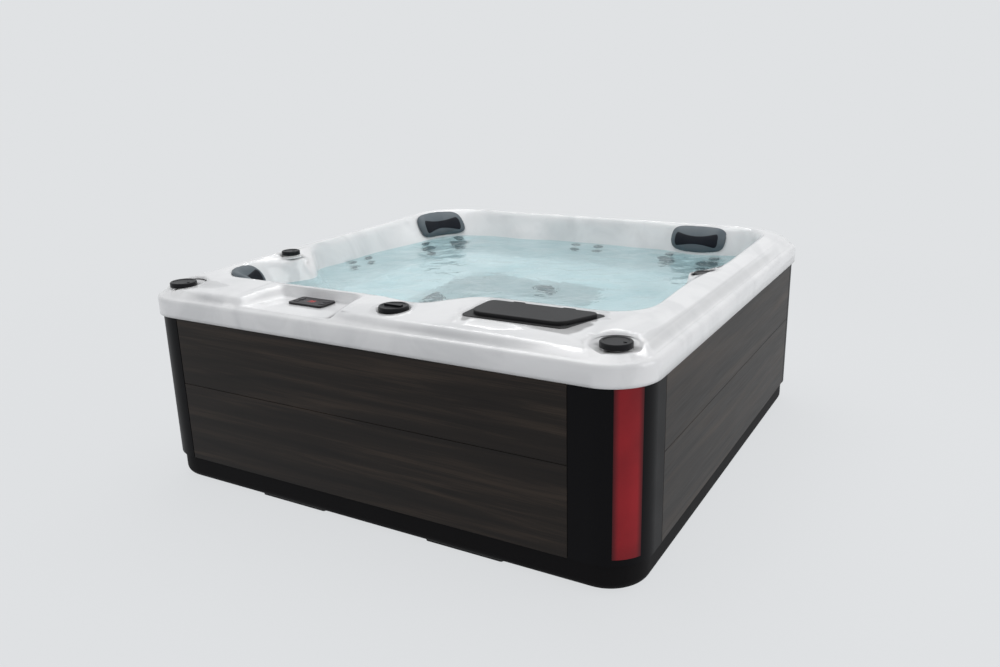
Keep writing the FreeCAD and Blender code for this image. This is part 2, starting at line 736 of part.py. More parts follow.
# Recesses of the deck: a floor and a wall are moulded under the deck, then the hollow is taken out

DECK_MIDDLE = v.shell_wall / 2
deck_line = [(-(half.value - inset), z) for inset, z in path_below(path, DECK_MIDDLE)[4:]]


def prism_x(points, start, length):
    """A block of an outline in Y and Z, run along X."""
    corners = [Vector(start, y, z) for y, z in points]
    return Part.Face(Part.makePolygon(corners + corners[:1])).extrude(Vector(length, 0, 0))


def under_deck(start, length, floor, edge_y):
    """Room between a floor and the middle of the front deck, up to its inner edge."""
    rise = deck_outer.value + v.deck_rise_front - DECK_MIDDLE
    front = [(y, z) for y, z in deck_line if z > floor]
    return prism_x([(deck_line[0][0], floor)] + front + [(edge_y, rise), (edge_y, floor)], start, length)


def rim_core():
    """Everything inside the middle of the riser."""
    loops = [rim_edges(inset, z) for inset, z in path_below(path, DECK_MIDDLE)[4:]]
    caps = [Part.Face(Part.Wire(loop)) for loop in (loops[0], loops[-1])]
    core = Part.Compound(strips(loops) + caps)
    core.sewShape()
    return outwards(Part.makeSolid(core))


def rounded_plate(points, radius, bottom, top):
    """A straight-sided outline with rounded corners, raised between two heights."""
    corners = [Vector(x, y, bottom) for x, y in points]
    plate = Part.Face(Part.makePolygon(corners + corners[:1])).extrude(Vector(0, 0, top - bottom))
    return plate.makeFillet(radius, [line for line in plate.Edges if upright(line)])


def cone(place, low_radius, high_radius, bottom, top):
    """A round block that may widen upwards."""
    if low_radius == high_radius:
        return Part.makeCylinder(low_radius, top - bottom, at_height(place, bottom))
    return Part.makeCone(low_radius, high_radius, top - bottom, at_height(place, bottom))


ABOVE = deck_outer.value + 80
corner_floor = lip_top + s.corner_floor_lift
left_floor = crest_height(Vector(0, -v.left_knob_y, 0)) - v.left_shelf_drop
right_floor = crest_height(Vector(0, v.right_knob_y, 0)) - v.right_shelf_drop
diverter_floor = deck_outer + s.deck_rise_front - s.cup_depth
pad_floor = lip_top + s.pad_lift
filter_floor = deck_outer - s.filter_sink

corner_places = [Vector(x, -v.corner_knob_y, corner_floor.value) for x in (-v.corner_knob_x, v.corner_knob_x)]
KNOBS = {
    "air_knob_front_left": (corner_places[0], v.corner_knob_radius),
    "air_knob_front_right": (corner_places[1], v.corner_knob_radius),
    "air_knob_left": (Vector(-v.left_knob_x, -v.left_knob_y, left_floor), v.side_knob_radius),
    "air_knob_right": (Vector(v.right_knob_x, v.right_knob_y, right_floor), v.side_knob_radius),
    "diverter_knob": (Vector(v.diverter_x, -v.diverter_y, diverter_floor.value), v.diverter_radius),
}

bodies = []
hollows = []
core = rim_core()
for name, (place, radius) in KNOBS.items():
    if "front" in name:
        low, outer, lean = v.corner_cup_radius, v.corner_cup_radius + v.corner_cup_wall, v.corner_cup_lean
    else:
        low, outer, lean = radius + v.cup_margin, radius + v.cup_margin + v.cup_wall, v.cup_lean
    floor = place.z - v.shell_wall
    if "front" in name:
        bodies.append(cone(place, outer, outer, floor, deck_outer.value + 2).common(core))
    elif name == "diverter_knob":
        room_below = under_deck(place.x - outer, 2 * outer, floor, -v.edge_control - v.notch_depth)
        bodies.append(cone(place, outer, outer, floor, ABOVE).common(room_below))
    else:
        side = 1 if place.x > 0 else -1
        inner_edge = side * (v.edge_left if side < 0 else v.edge_right - v.edge_step / 2)
        back = Part.makeBox(2 * outer, 2 * outer, ABOVE - floor,
                            Vector(min(inner_edge, inner_edge + side * 2 * outer), place.y - outer, floor))
        rear = cone(place, outer, outer, floor, crest_height(place) - DECK_MIDDLE).common(back)
        bodies.append(cone(place, low, low, floor, place.z).fuse(rear))
    hollows.append(cone(place, low, low + lean * (ABOVE - place.z), place.z, ABOVE))
    hollows.append(cone(place, v.valve_radius + v.hole_clearance, v.valve_radius + v.hole_clearance,
                        floor - v.valve_depth, ABOVE))

wall = v.shell_wall


def flared(outline, radius, bottom, top):
    """A block whose outline, given for a height above its bottom, changes evenly up to its top."""
    loops = []
    for lift in (0, top - bottom):
        corners = [Vector(x, y, bottom + lift) for x, y in outline(lift)]
        loops.append(Part.makePolygon(corners + corners[:1]))
    block = Part.makeLoft(loops, True, True)
    slanted = [line for line in block.Edges if abs(line.Vertexes[0].Z - line.Vertexes[-1].Z) > 1]
    return block.makeFillet(radius, slanted)


def pad_outline(lift):
    """Corners of the control pad at a height above its floor."""
    front, back = -half.value + v.ledge_width / 2, -v.pad_back + v.pad_back_lean * lift
    near, far = v.pad_half + v.pad_spread + v.pad_lean * lift, v.pad_half + v.pad_lean * lift
    return [(v.pad_middle - near, front), (v.pad_middle + near, front), (v.pad_middle + far, back),
            (v.pad_middle - far, back)]


pad_depth = deck_outer.value + v.deck_rise_front - pad_floor.value
pad_room = v.pad_half + v.pad_spread + v.pad_lean * pad_depth + wall
bodies.append(under_deck(v.pad_middle - pad_room, 2 * pad_room, pad_floor.value - wall,
                         -v.pad_back + v.pad_back_lean * pad_depth + wall))
hollows.append(flared(pad_outline, v.pad_corner, pad_floor.value, ABOVE))


def filter_outline(margin):
    """Outline of the filter cover with a slanted right side, larger all round by a margin."""
    return [(s.filter_left - margin, -s.filter_front - margin),
            (s.filter_right - s.filter_slant + margin, -s.filter_front - margin),
            (s.filter_right + margin, -s.filter_back + margin),
            (s.filter_left - margin, -s.filter_back + margin)]


def plain(points):
    return [(sized(x).value, sized(y).value) for x, y in points]


tray = rounded_plate(plain(filter_outline(s.hole_clearance + s.shell_wall)), v.filter_corner,
                     filter_floor.value - wall, ABOVE)
bodies.append(tray.common(under_deck(v.filter_left - 2 * wall, v.filter_right - v.filter_left + 4 * wall,
                                     filter_floor.value - wall, -v.filter_back + 2 * wall)))
hollows.append(rounded_plate(plain(filter_outline(s.hole_clearance)), v.filter_corner,
                             filter_floor.value, ABOVE))
gap = v.hole_clearance
mouth_low = filter_floor.value - 10 * wall
hollows.append(Part.makeBox(v.bucket_length + 2 * gap, v.bucket_width + 2 * gap, ABOVE - mouth_low,
                            Vector(v.bucket_x - gap, -v.bucket_front - gap, mouth_low)))
bezel_x, bezel_y = v.pad_middle, -v.bezel_y
housing_low = pad_floor.value - v.housing_depth
hollows.append(Part.makeBox(v.housing_length + 2 * gap, v.housing_width + 2 * gap, ABOVE - housing_low,
                            Vector(bezel_x - v.housing_length / 2 - gap, bezel_y - v.housing_width / 2 - gap,
                                   housing_low)))
skimmer_x = v.bucket_x + v.bucket_length / 2
skimmer_back = -v.bucket_front + v.bucket_width
hollows.append(Part.makeBox(v.skimmer_width + 2 * gap, v.edge_filter, v.skimmer_height + 2 * gap,
                            Vector(skimmer_x - v.skimmer_width / 2 - gap, skimmer_back + 2,
                                   v.skimmer_top - v.skimmer_height - gap)))


# Places on the wall of the basin, for jets, headrests and footwell fittings

WALL = range(4, 13)
WELL_WALL = range(17, 20)


def profile_point(k, mark):
    """Point of a free ring at a mark that may lie between two points."""
    first = int(mark) % RING
    start, end = free_rings[k][first], free_rings[k][(first + 1) % RING]
    return start + (end - start) * (mark - int(mark))


def wall_point(mark, z, levels=WALL):
    """Point of the wall at a height, or its upper edge where the height is above it."""
    for k in levels:
        high, low = profile_point(k, mark), profile_point(k + 1, mark)
        if z > high.z:
            return high
        if z >= low.z:
            return low + (high - low) * ((z - low.z) / (high.z - low.z))
    return low


MARK_STEP = 0.05
ALL_MARKS = [MARK_STEP * n for n in range(int(RING / MARK_STEP))]


def wall_frame(score, z, levels=WALL):
    """The wall point that scores lowest, and the direction square to the wall there."""
    mark = min(ALL_MARKS, key=lambda m: score(wall_point(m, z, levels)))
    here = wall_point(mark, z, levels)
    reach = 0.4
    along = wall_point((mark + reach) % RING, z, levels) - wall_point((mark - reach) % RING, z, levels)
    up = wall_point(mark, z + 20, levels) - wall_point(mark, z - 20, levels)
    return here, up.cross(along).normalize()


def bearing_of(angle):
    """Score for wall points in one direction from the middle of the tub."""
    return lambda p: abs((math.degrees(math.atan2(p.y, p.x)) - angle + 180) % 360 - 180)


def standing(place, normal):
    """Placement with its Z axis along the normal."""
    return Placement(place, Rotation(Vector(0, 0, 1), normal))


def fitting_places(spots, lift, levels=WALL):
    """Placements on the wall for spots given by direction and height."""
    found = []
    for angle, z in spots:
        place, normal = wall_frame(bearing_of(angle), z, levels)
        found.append(standing(place + normal * lift, normal))
    return found


def drill(places, hole, seat_radius, depth):
    """Take a hole and a flat seat out of the shell at each place."""
    for place in places:
        for radius, start, length in ((hole, -depth, depth + 1), (seat_radius, 0, depth / 2)):
            tool = Part.makeCylinder(radius, length, Vector(0, 0, start))
            tool.Placement = place
            hollows.append(tool)


rest_right_angle = math.degrees(math.atan2(v.edge_back, v.rest_right_x))
REST_ANGLES = {"back_left": v.rest_left_angle, "back_right": rest_right_angle,
               "front_left": v.rest_front_angle}
large_spots = [(angle + turn, v.jet_row) for angle in REST_ANGLES.values()
               for turn in (-v.jet_turn, v.jet_turn)]
small_spots = [(angle + turn, v.jet_row + lift) for angle in REST_ANGLES.values()
               for turn in (-v.jet_turn, v.jet_turn) for lift in (-v.jet_pitch, v.jet_pitch)]
small_spots += [(angle + turn, v.jet_row + lift) for angle in (90, 172) for turn in (-4, 4)
                for lift in (0, v.jet_pitch)]
small_spots += [(338, v.jet_row), (344, v.jet_row)]
large_places = fitting_places(large_spots, v.fitting_lift)
large_places += fitting_places([(-14, v.well_jet_row), (8, v.well_jet_row)], v.fitting_lift, WELL_WALL)
small_places = fitting_places(small_spots, v.fitting_lift)
suction_places = fitting_places([(176, v.well_jet_row), (88, v.well_jet_row)], v.fitting_lift, WELL_WALL)
light_places = fitting_places([(267, v.well_jet_row)], v.fitting_lift, WELL_WALL)
drill(large_places, v.jet_radius + gap, v.jet_flange + 1, v.jet_depth)
drill(small_places, v.small_jet_radius + gap, v.small_jet_flange + 1, v.small_jet_depth)
drill(suction_places, v.suction_pipe + gap, v.suction_radius + 1, v.suction_depth)
drill(light_places, v.suction_pipe + gap, v.light_radius + 1, v.suction_depth)

# Headrests: a soft pad with a drawn-in waist, an hourglass insert on its face and two pegs in the wall


def rest_frame(angle):
    place, normal = wall_frame(bearing_of(angle), v.rest_middle)
    level = at_height(normal, 0).normalize()
    return place, normal, Vector(0, 0, 1).cross(level)


def beside(middle, along, offset, z):
    """The wall point at a height, some way along from the middle of a pad."""
    place, _ = wall_frame(lambda p: abs((p - middle).dot(along) - offset) + 0.05 * (p - middle).Length, z)
    return place - along * ((place - middle).dot(along) - offset)


def rest_section(middle, along, offset, share, extra):
    """One cut through a pad: a straight back just inside the wall and a rounded front."""
    low, high = (beside(middle, along, offset, v.rest_middle + v.rest_rise / 2 * side) for side in (-1, 1))
    rise = (high - low).normalize()
    out = along.cross(rise)
    length = (high - low).Length
    trim = length * 0.5 * (1 - share[1])
    sunk = v.shell_wall / 2
    low = low + rise * trim - out * sunk
    high = high - rise * trim - out * sunk
    thick = v.rest_thick * share[0] + sunk + extra
    length = (high - low).Length
    chin = low + rise * (0.14 * length) + out * (0.8 * thick)
    brow = high - rise * (0.14 * length) + out * (0.8 * thick)
    crown = (low + high) * 0.5 + out * thick
    chin_turn = low + rise * (0.01 * length - extra) + out * (0.45 * thick)
    brow_turn = high - rise * (0.01 * length - extra) + out * (0.45 * thick)
    lines = [Part.LineSegment(high, low), Part.Arc(low, chin_turn, chin), Part.Arc(chin, crown, brow),
             Part.Arc(brow, brow_turn, high)]
    return Part.Wire([line.toShape() for line in lines])


# Along a pad: place as a share of half its length, then its thickness and height as shares of the largest
SECTIONS = ((-1, (0.3, 0.6)), (-0.84, (0.85, 0.9)), (-0.5, (1, 1)), (0, (0.86, 0.94)),
            (0.5, (1, 1)), (0.84, (0.85, 0.9)), (1, (0.3, 0.6)))


def rest_loft(angle, extra):
    middle, _, along = rest_frame(angle)
    return Part.makeLoft([rest_section(middle, along, t * v.rest_length / 2, share, extra)
                          for t, share in SECTIONS], True, False)


def hourglass(angle):
    """A bar of hourglass outline, square to the wall behind a pad."""
    middle, normal, along = rest_frame(angle)
    up = normal.cross(along)
    middle = middle - up * v.insert_drop
    x, y, waist = v.insert_length / 2, v.insert_height / 2, v.insert_waist / 2
    corners = [(-x, -y), (x, -y), (x, y), (-x, y)]
    points = [middle + along * a + up * b for a, b in corners]
    bends = [middle - up * waist, middle + up * waist]
    lines = [Part.Arc(points[0], bends[0], points[1]), Part.LineSegment(points[1], points[2]),
             Part.Arc(points[2], bends[1], points[3]), Part.LineSegment(points[3], points[0])]
    return Part.Face(Part.Wire([line.toShape() for line in lines])).extrude(normal * (3 * v.rest_thick))


def peg(angle, side, radius):
    """A pin through the wall behind a pad."""
    middle, normal, along = rest_frame(angle)
    place = beside(middle, along, side * v.peg_spread / 2, v.rest_middle)
    return Part.makeCylinder(radius, v.peg_length + v.shell_wall, place - normal * v.peg_length, normal)


rests = {name: rest_loft(angle, 0) for name, angle in REST_ANGLES.items()}
for angle in REST_ANGLES.values():
    hollows.extend(peg(angle, side, v.peg_radius + gap) for side in (-1, 1))

tub = basin.fuse(bodies).cut(hollows)
formed("acrylic_shell", max(tub.Solids, key=lambda solid: solid.Volume))

for name, angle in REST_ANGLES.items():
    _, normal, _ = rest_frame(angle)
    wall_clear = basin.copy()
    wall_clear.translate(normal * v.rest_clear)
    pad = max(rests[name].cut(wall_clear).Solids, key=lambda solid: solid.Volume)
    formed(f"headrest_{name}", pad)
    inlay = rest_loft(angle, v.insert_thick).common(hourglass(angle))
    inlay = inlay.cut([rest_loft(angle, v.rest_clear), wall_clear])
    formed(f"headrest_insert_{name}", max(inlay.Solids, key=lambda solid: solid.CenterOfMass.dot(normal)))
pegs = [peg(angle, side, v.peg_radius).cut(rests[name]) for name, angle in REST_ANGLES.items()
        for side in (-1, 1)]
formed("headrest_pegs", Part.makeCompound([max(pin.Solids, key=lambda solid: solid.Volume) for pin in pegs]))


# Knobs on valve bodies: the valve hangs through the floor of a recess, the knob turns in its bore

bore_floor = -s.stem_length - 2
valve = turned("valve", [
    (0, -s.valve_depth), (s.valve_radius, -s.valve_depth), (s.valve_radius, s.seat_gap),
    (s.flange_radius, s.seat_gap), (s.flange_radius, s.flange_height), (s.stem_radius, s.flange_height),
    (s.stem_radius, bore_floor), (0, bore_floor)])
copies("valve_bodies", valve, [Placement(place, Rotation()) for place, _ in KNOBS.values()])
knob_lift = s.flange_height + s.knob_gap


def make_knob(label, radius, grip):
    """A round cap with a dished top, a grip bar or a small mark, and a stem; it stands above the valve."""
    stem = s.stem_radius - s.stem_clearance
    top = s.knob_height
    rim = s.knob_round
    knob = turned(label, [
        (0, -s.stem_length), (stem, -s.stem_length), (stem, 0), (radius, 0), (radius, top - rim),
        (radius - rim, top), (radius - 3 * rim, top), (radius - 4 * rim, top - s.knob_dish),
        (0, top - s.knob_dish)])
    if grip:
        outline, height = oblong(2 * radius - 12 * rim, s.grip_width), s.knob_dish + s.grip_height
    else:
        place = radius - 4 * rim - s.index_length
        outline, height = oblong(s.index_length, s.index_width, place), s.knob_dish
    feature(knob, "Pad", "bar", sketch(knob, "mark", "XY_Plane", outline, top - s.knob_dish), Length=height)
    return knob


KNOB_RADII = {"air_knob_front_left": s.corner_knob_radius, "air_knob_front_right": s.corner_knob_radius,
              "air_knob_left": s.side_knob_radius, "air_knob_right": s.side_knob_radius,
              "diverter_knob": s.diverter_radius}
for name, (place, _) in KNOBS.items():
    knob = make_knob(name, KNOB_RADII[name], name == "diverter_knob")
    move(knob, place.x, place.y, place.z + knob_lift)
    keep(name, knob)

# Filter: a trim frame in the deck, a lid on two pins at the water side, a bucket with two cartridges

frame = slab("filter_trim", filter_outline(0), s.frame_thick)
round_edges(frame, "corners", s.filter_corner, upright)
mouth = [(s.bucket_x + s.bucket_wall, s.bucket_wall - s.bucket_front),
         (s.bucket_x + s.bucket_length - s.bucket_wall, s.bucket_wall - s.bucket_front),
         (s.bucket_x + s.bucket_length - s.bucket_wall, s.bucket_width - s.bucket_wall - s.bucket_front),
         (s.bucket_x + s.bucket_wall, s.bucket_width - s.bucket_wall - s.bucket_front)]
pocket(frame, "mouth", mouth, s.frame_thick, s.frame_thick)
frame_seat = filter_floor + s.seat_gap
frame_top = frame_seat + s.frame_thick
hinge_y = -s.filter_back - s.hinge_margin
hinge_z = frame_top + s.hinge_radius + s.lid_gap
ear_step = s.knuckle_width / 2 + s.ear_gap
hinge_middle = s.bucket_x + s.bucket_length / 2
HINGES = (hinge_middle - s.hinge_spread, hinge_middle + s.hinge_spread)
ACROSS = Rotation(Vector(0, 1, 0), 90)


def joined(label, things):
    result = doc.addObject("Part::MultiFuse", label)
    result.Shapes = things
    return result


move(frame, 0, 0, frame_seat)
frame_pieces = [frame]
lid_pieces = []
pins = []
bores = []
for number, x in enumerate(HINGES):
    for side, start in (("a", x - ear_step - s.ear_width), ("b", x + ear_step)):
        frame_pieces.append(rod(f"ear_{number}{side}", start, hinge_y, hinge_z, s.hinge_radius, s.ear_width,
                                ACROSS))
        frame_pieces.append(box(f"ear_foot_{number}{side}", start, hinge_y - s.hinge_radius, frame_top,
                                s.ear_width, 2 * s.hinge_radius, hinge_z - frame_top))
    lid_pieces.append(rod(f"knuckle_{number}", x - s.knuckle_width / 2, hinge_y, hinge_z, s.hinge_radius,
                          s.knuckle_width, ACROSS))
    web = s.lid_back + s.lid_round
    lid_pieces.append(box(f"web_{number}", x - s.knuckle_width / 2, hinge_y - web, hinge_z - s.pin_radius,
                          s.knuckle_width, web, 2 * s.pin_radius))
    pin_start = x - ear_step - s.ear_width
    pin_length = 2 * (ear_step + s.ear_width)
    pins.append(rod(f"pin_{number}", pin_start, hinge_y, hinge_z, s.pin_radius, pin_length, ACROSS))
    bore = s.pin_radius + s.pin_clearance
    bores.append(rod(f"bore_{number}", pin_start, hinge_y, hinge_z, bore, pin_length, ACROSS))
frame_eared = joined("frame_eared", frame_pieces)
keep("filter_frame", boolean("Cut", "frame_bored", frame_eared, joined("pin_holes", pins)))
group("lid_hinge_pins", pins)

lid_near, lid_far = s.lid_margin - s.filter_front, hinge_y - s.lid_back
lid_left, lid_right = s.filter_left + s.lid_margin, s.filter_right - s.lid_margin
lid_edge = [(lid_left, lid_near), (lid_right - s.filter_slant, lid_near), (lid_right, lid_far),
            (lid_left, lid_far)]
lid = slab("lid_plate", lid_edge, s.lid_thick)
for name, radius, y in (("front", s.lid_front_corner, lid_near), ("back", s.lid_back_corner, lid_far)):
    round_edges(lid, f"{name}_corners", radius,
                lambda edge: upright(edge) and abs(edge.Vertexes[0].Y - y.value) < 0.01)
round_edges(lid, "rim", s.lid_round, level_at(v.lid_thick))
move(lid, 0, 0, frame_top + s.lid_gap)
lid_pieces.append(lid)
lid_knuckled = joined("lid_knuckled", lid_pieces)
keep("filter_lid", boolean("Cut", "lid_bored", lid_knuckled, joined("lid_bores", bores)))

bucket_top = filter_floor - s.seat_gap
bucket_floor = bucket_top - s.bucket_depth
bucket = slab("bucket_block", oblong(s.bucket_length, s.bucket_width), s.bucket_depth)
hollow_length = s.bucket_length - 2 * s.bucket_wall
pocket(bucket, "inside", oblong(hollow_length, s.bucket_width - 2 * s.bucket_wall), s.bucket_depth,
       s.bucket_depth - s.bucket_wall)
bucket_y = s.bucket_width / 2 - s.bucket_front
move(bucket, hinge_middle, bucket_y, bucket_floor)
inlet_inside = s.skimmer_width - 2 * s.skimmer_wall
inlet_left = hinge_middle - inlet_inside / 2
inlet_low = s.skimmer_top + s.skimmer_wall - s.skimmer_height
inlet_height = s.skimmer_height - 2 * s.skimmer_wall
inlet = box("bucket_inlet", inlet_left, bucket_y, inlet_low, inlet_inside, s.bucket_width, inlet_height)
keep("filter_bucket", boolean("Cut", "bucket", bucket, inlet))

duct_start = s.bucket_width - s.bucket_front + s.seat_gap
duct_end = s.skimmer_reach - s.edge_filter
duct_low = s.skimmer_top - s.skimmer_height
duct = box("skimmer_outside", hinge_middle - s.skimmer_width / 2, duct_start, duct_low, s.skimmer_width,
           duct_end - duct_start, s.skimmer_height)
duct_room = box("skimmer_inside", inlet_left, duct_start, inlet_low, inlet_inside, duct_end - duct_start,
                inlet_height)
tube = boolean("Cut", "skimmer_tube", duct, duct_room)
SLATS = 6
slat_pitch = inlet_inside / SLATS
slats = [box(f"slat_{n}", inlet_left + slat_pitch * n - s.skimmer_slat / 2,
             duct_end - s.skimmer_slat, duct_low, s.skimmer_slat, s.skimmer_slat, s.skimmer_height)
         for n in range(1, SLATS)]
keep("skimmer_grille", joined("skimmer", [tube] + slats))

cartridge_foot = (bucket_floor + s.bucket_wall + s.seat_gap).value
CARTRIDGES = [Placement(Vector(hinge_middle.value + v.bucket_length / 4 * side, bucket_y.value,
                               cartridge_foot), Rotation()) for side in (-1, 1)]


def pleated(radius, depth, count, height):
    """A ring of folded cloth round a hollow core."""
    points = []
    for n in range(2 * count):
        reach = radius - depth * (n % 2)
        angle = math.pi * n / count
        points.append(Vector(reach * math.cos(angle), reach * math.sin(angle), 0))
    cloth = Part.Face(Part.makePolygon(points + points[:1])).extrude(Vector(0, 0, height))
    return cloth.cut(Part.makeCylinder(v.core_radius, height))


cap_low = turned("cartridge_cap", [
    (s.core_radius, 0), (s.cartridge_radius + 2, 0), (s.cartridge_radius + 2, s.end_cap_height),
    (s.core_radius, s.end_cap_height)])
upper_cap = s.end_cap_height + s.cartridge_height + 2 * s.seat_gap
copies("filter_end_caps", cap_low, [place.multiply(Placement(Vector(0, 0, lift), Rotation()))
                                    for place in CARTRIDGES for lift in (0, upper_cap.value)])
cloths = []
for place in CARTRIDGES:
    cloth = pleated(v.cartridge_radius, v.pleat_depth, int(v.pleats), v.cartridge_height)
    cloth.Placement = place.multiply(Placement(Vector(0, 0, v.end_cap_height + v.seat_gap), Rotation()))
    cloths.append(cloth)
formed("filter_cartridges", Part.makeCompound(cloths))

# Control panel: a bezel on the lowered pad, a display in its window, four sprung buttons

bezel = slab("bezel_plate", oblong(s.bezel_length, s.bezel_width), s.bezel_thick)
round_edges(bezel, "corners", s.bezel_corner, upright)
pocket(bezel, "window", oblong(s.window_length, s.window_width), s.bezel_thick, s.window_depth)
BUTTONS = {f"button_{row}_{side}": (s.button_spread * x, s.button_pitch / 2 * y)
           for side, x in (("left", -1), ("right", 1)) for row, y in (("front", -1), ("back", 1))}
for name, (x, y) in BUTTONS.items():
    well_size = 2 * s.button_clearance
    pocket(bezel, f"{name}_well", oblong(s.button_length + well_size, s.button_width + well_size, x, y),
           s.bezel_thick, s.button_depth)
housing = sketch(bezel, "housing", "XY_Plane", oblong(s.housing_length, s.housing_width))
depth = feature(bezel, "Pad", "case", housing, Length=s.housing_depth)
depth.Reversed = True
bezel_seat = pad_floor + s.seat_gap
move(bezel, s.pad_middle, -s.bezel_y, bezel_seat)
keep("control_bezel", bezel)
display_play = 2 * s.button_clearance
display = slab("display_plate", oblong(s.window_length - display_play, s.window_width - display_play),
               s.window_depth)
move(display, s.pad_middle, -s.bezel_y, bezel_seat + s.bezel_thick - s.window_depth)
keep("control_display", display)
button_foot = bezel_seat + s.bezel_thick - s.button_depth + s.button_travel + s.button_clearance
button_height = s.button_depth - s.button_travel - s.button_clearance + s.button_proud
for name, (x, y) in BUTTONS.items():
    button = slab(f"{name}_cap", oblong(s.button_length, s.button_width), button_height)
    round_edges(button, "corners", s.knob_round, upright)
    move(button, s.pad_middle + x, y - s.bezel_y, button_foot)
    keep(f"control_{name}", button)

# Jets: housings in the wall, larger faces that turn in their bore, small fixed ones

housing_jet = turned("jet_housing", [
    (0, -s.jet_depth), (s.jet_radius, -s.jet_depth), (s.jet_radius, s.seat_gap), (s.jet_flange, s.seat_gap),
    (s.jet_flange, s.jet_lip), (s.jet_bore, s.jet_lip), (s.jet_bore, -s.jet_sleeve - s.jet_lip),
    (0, -s.jet_sleeve - s.jet_lip)])
copies("jet_housings", housing_jet, large_places)
jet_face_foot = s.jet_lip + s.seat_gap
sleeve = s.jet_bore - s.stem_clearance
jet_top = jet_face_foot + s.jet_face_height
jet_face = turned("jet_face", [
    (s.jet_nozzle, jet_face_foot), (sleeve - s.jet_lip, jet_face_foot), (sleeve - s.jet_lip, -s.jet_sleeve),
    (sleeve, -s.jet_sleeve), (sleeve, jet_face_foot), (s.jet_flange, jet_face_foot),
    (s.jet_flange, jet_face_foot + s.jet_lip), (s.jet_flange - 8, jet_top), (s.jet_nozzle + 8, jet_top),
    (s.jet_nozzle, jet_top - s.jet_lip)])
EYES = 3
for n in range(EYES):
    angle = 2 * math.pi * n / EYES
    reach = (s.jet_flange + s.jet_nozzle) / 2
    eye = oblong(2 * s.jet_lip, 4 * s.jet_lip, reach * math.cos(angle), reach * math.sin(angle))
    pocket(jet_face, f"eye_{n}", eye, jet_top, jet_top - jet_face_foot - s.jet_lip)
JET_NAMES = [f"jet_face_{seat_name}_{side}" for seat_name in (*REST_ANGLES, "footwell")
             for side in ("a", "b")]
for name, place in zip(JET_NAMES, large_places):
    copies(name, jet_face, [place])
small_jet = turned("small_jet", [
    (0, -s.small_jet_depth), (s.small_jet_radius, -s.small_jet_depth), (s.small_jet_radius, s.seat_gap),
    (s.small_jet_flange, s.seat_gap), (s.small_jet_flange, s.jet_lip), (s.small_jet_bore + 4, s.jet_lip + 3),
    (s.small_jet_bore, s.jet_lip), (s.small_jet_bore - 4, -s.jet_sleeve), (0, -s.jet_sleeve)])
copies("small_jets", small_jet, small_places)

# Footwell: two suction covers, a light and the drain

suction = turned("suction", [
    (0, -s.suction_depth), (s.suction_pipe, -s.suction_depth), (s.suction_pipe, s.seat_gap),
    (s.suction_radius, s.seat_gap), (s.suction_radius, s.jet_lip), (s.suction_radius - 12, s.suction_dome),
    (0, s.suction_dome)])
copies("suction_covers", suction, suction_places)
lamp = turned("lamp", [
    (0, -s.suction_depth), (s.suction_pipe, -s.suction_depth), (s.suction_pipe, s.seat_gap),
    (s.light_radius, s.seat_gap), (s.light_radius, s.jet_lip), (s.light_radius - 10, s.suction_dome / 2),
    (0, s.suction_dome / 2)])
copies("footwell_light", lamp, light_places)
drain_tube = s.drain_radius - s.hole_clearance
drain = turned("drain", [
    (0, s.seat_gap - s.drain_depth), (drain_tube, s.seat_gap - s.drain_depth), (drain_tube, s.seat_gap),
    (s.drain_radius + 14, s.seat_gap), (s.drain_radius + 14, s.jet_lip), (s.drain_radius, s.jet_lip + 3),
    (0, s.jet_lip + 3)])
move(drain, WELL_MIDDLE.x, WELL_MIDDLE.y, s.well_floor)
keep("floor_drain", drain)

# Equipment under the front deck: two pumps, heater, control box, pipes, and the block under the footwell

support_height = s.well_floor - s.shell_wall - s.seat_gap - pan_floor
support = box("support_block", WELL_MIDDLE.x - s.support_side / 2, WELL_MIDDLE.y - s.support_side / 2,
              pan_floor, s.support_side, s.support_side, support_height)
drain_hole = rod("support_hole", WELL_MIDDLE.x, WELL_MIDDLE.y, pan_floor, s.drain_radius + 4, s.well_floor)
keep("footwell_support", boolean("Cut", "support", support, drain_hole))

motor = turned("motor", [
    (0, 0), (s.pump_radius - 12, 0), (s.pump_radius, 12), (s.pump_radius, s.pump_length - 50),
    (s.pump_radius - 10, s.pump_length - 50), (s.pump_radius - 10, s.pump_length), (0, s.pump_length)])
move(motor, 0, 0, 0, ACROSS)
motor_foot = box("motor_foot", s.pump_length / 4, -s.pump_radius / 2, pan_floor - s.pump_z,
                 s.pump_length / 2, s.pump_radius, s.pump_z - pan_floor - s.pump_radius / 2)
motor_whole = joined("motor_whole", [motor, motor_foot])
wet_end = turned("wet_end", [
    (0, -s.wet_end_length), (s.pipe_radius, -s.wet_end_length),
    (s.pipe_radius, s.inlet_length - s.wet_end_length),
    (s.wet_end_radius, s.inlet_length - s.wet_end_length), (s.wet_end_radius, -s.seat_gap), (0, -s.seat_gap)])
move(wet_end, 0, 0, 0, ACROSS)
outlet_x = (s.inlet_length - s.wet_end_length) / 2
outlet = rod("outlet", outlet_x, 0, 0, s.pipe_radius, s.wet_end_radius + s.inlet_length)
wet_whole = joined("wet_whole", [wet_end, outlet])
doc.recompute()
PUMPS = [Placement(Vector(x, -v.pump_y, v.pump_z), Rotation()) for x in (v.pump_left, v.pump_right)]
copies("pump_motors", motor_whole, PUMPS)
copies("pump_wet_ends", wet_whole, PUMPS)

box_front = post_face - s.post_side - s.box_depth
keep("control_box", box("equipment_box", s.box_left, -box_front - s.box_depth, pan_floor, s.box_length,
                        s.box_depth, s.box_height))
heater_z = pan_floor + s.box_height + s.heater_radius + s.seat_gap
heater = rod("heater", s.box_left - (s.heater_length - s.box_length) / 2, -box_front - s.box_depth / 2,
             heater_z, s.heater_radius, s.heater_length, ACROSS)
keep("heater_tube", heater)


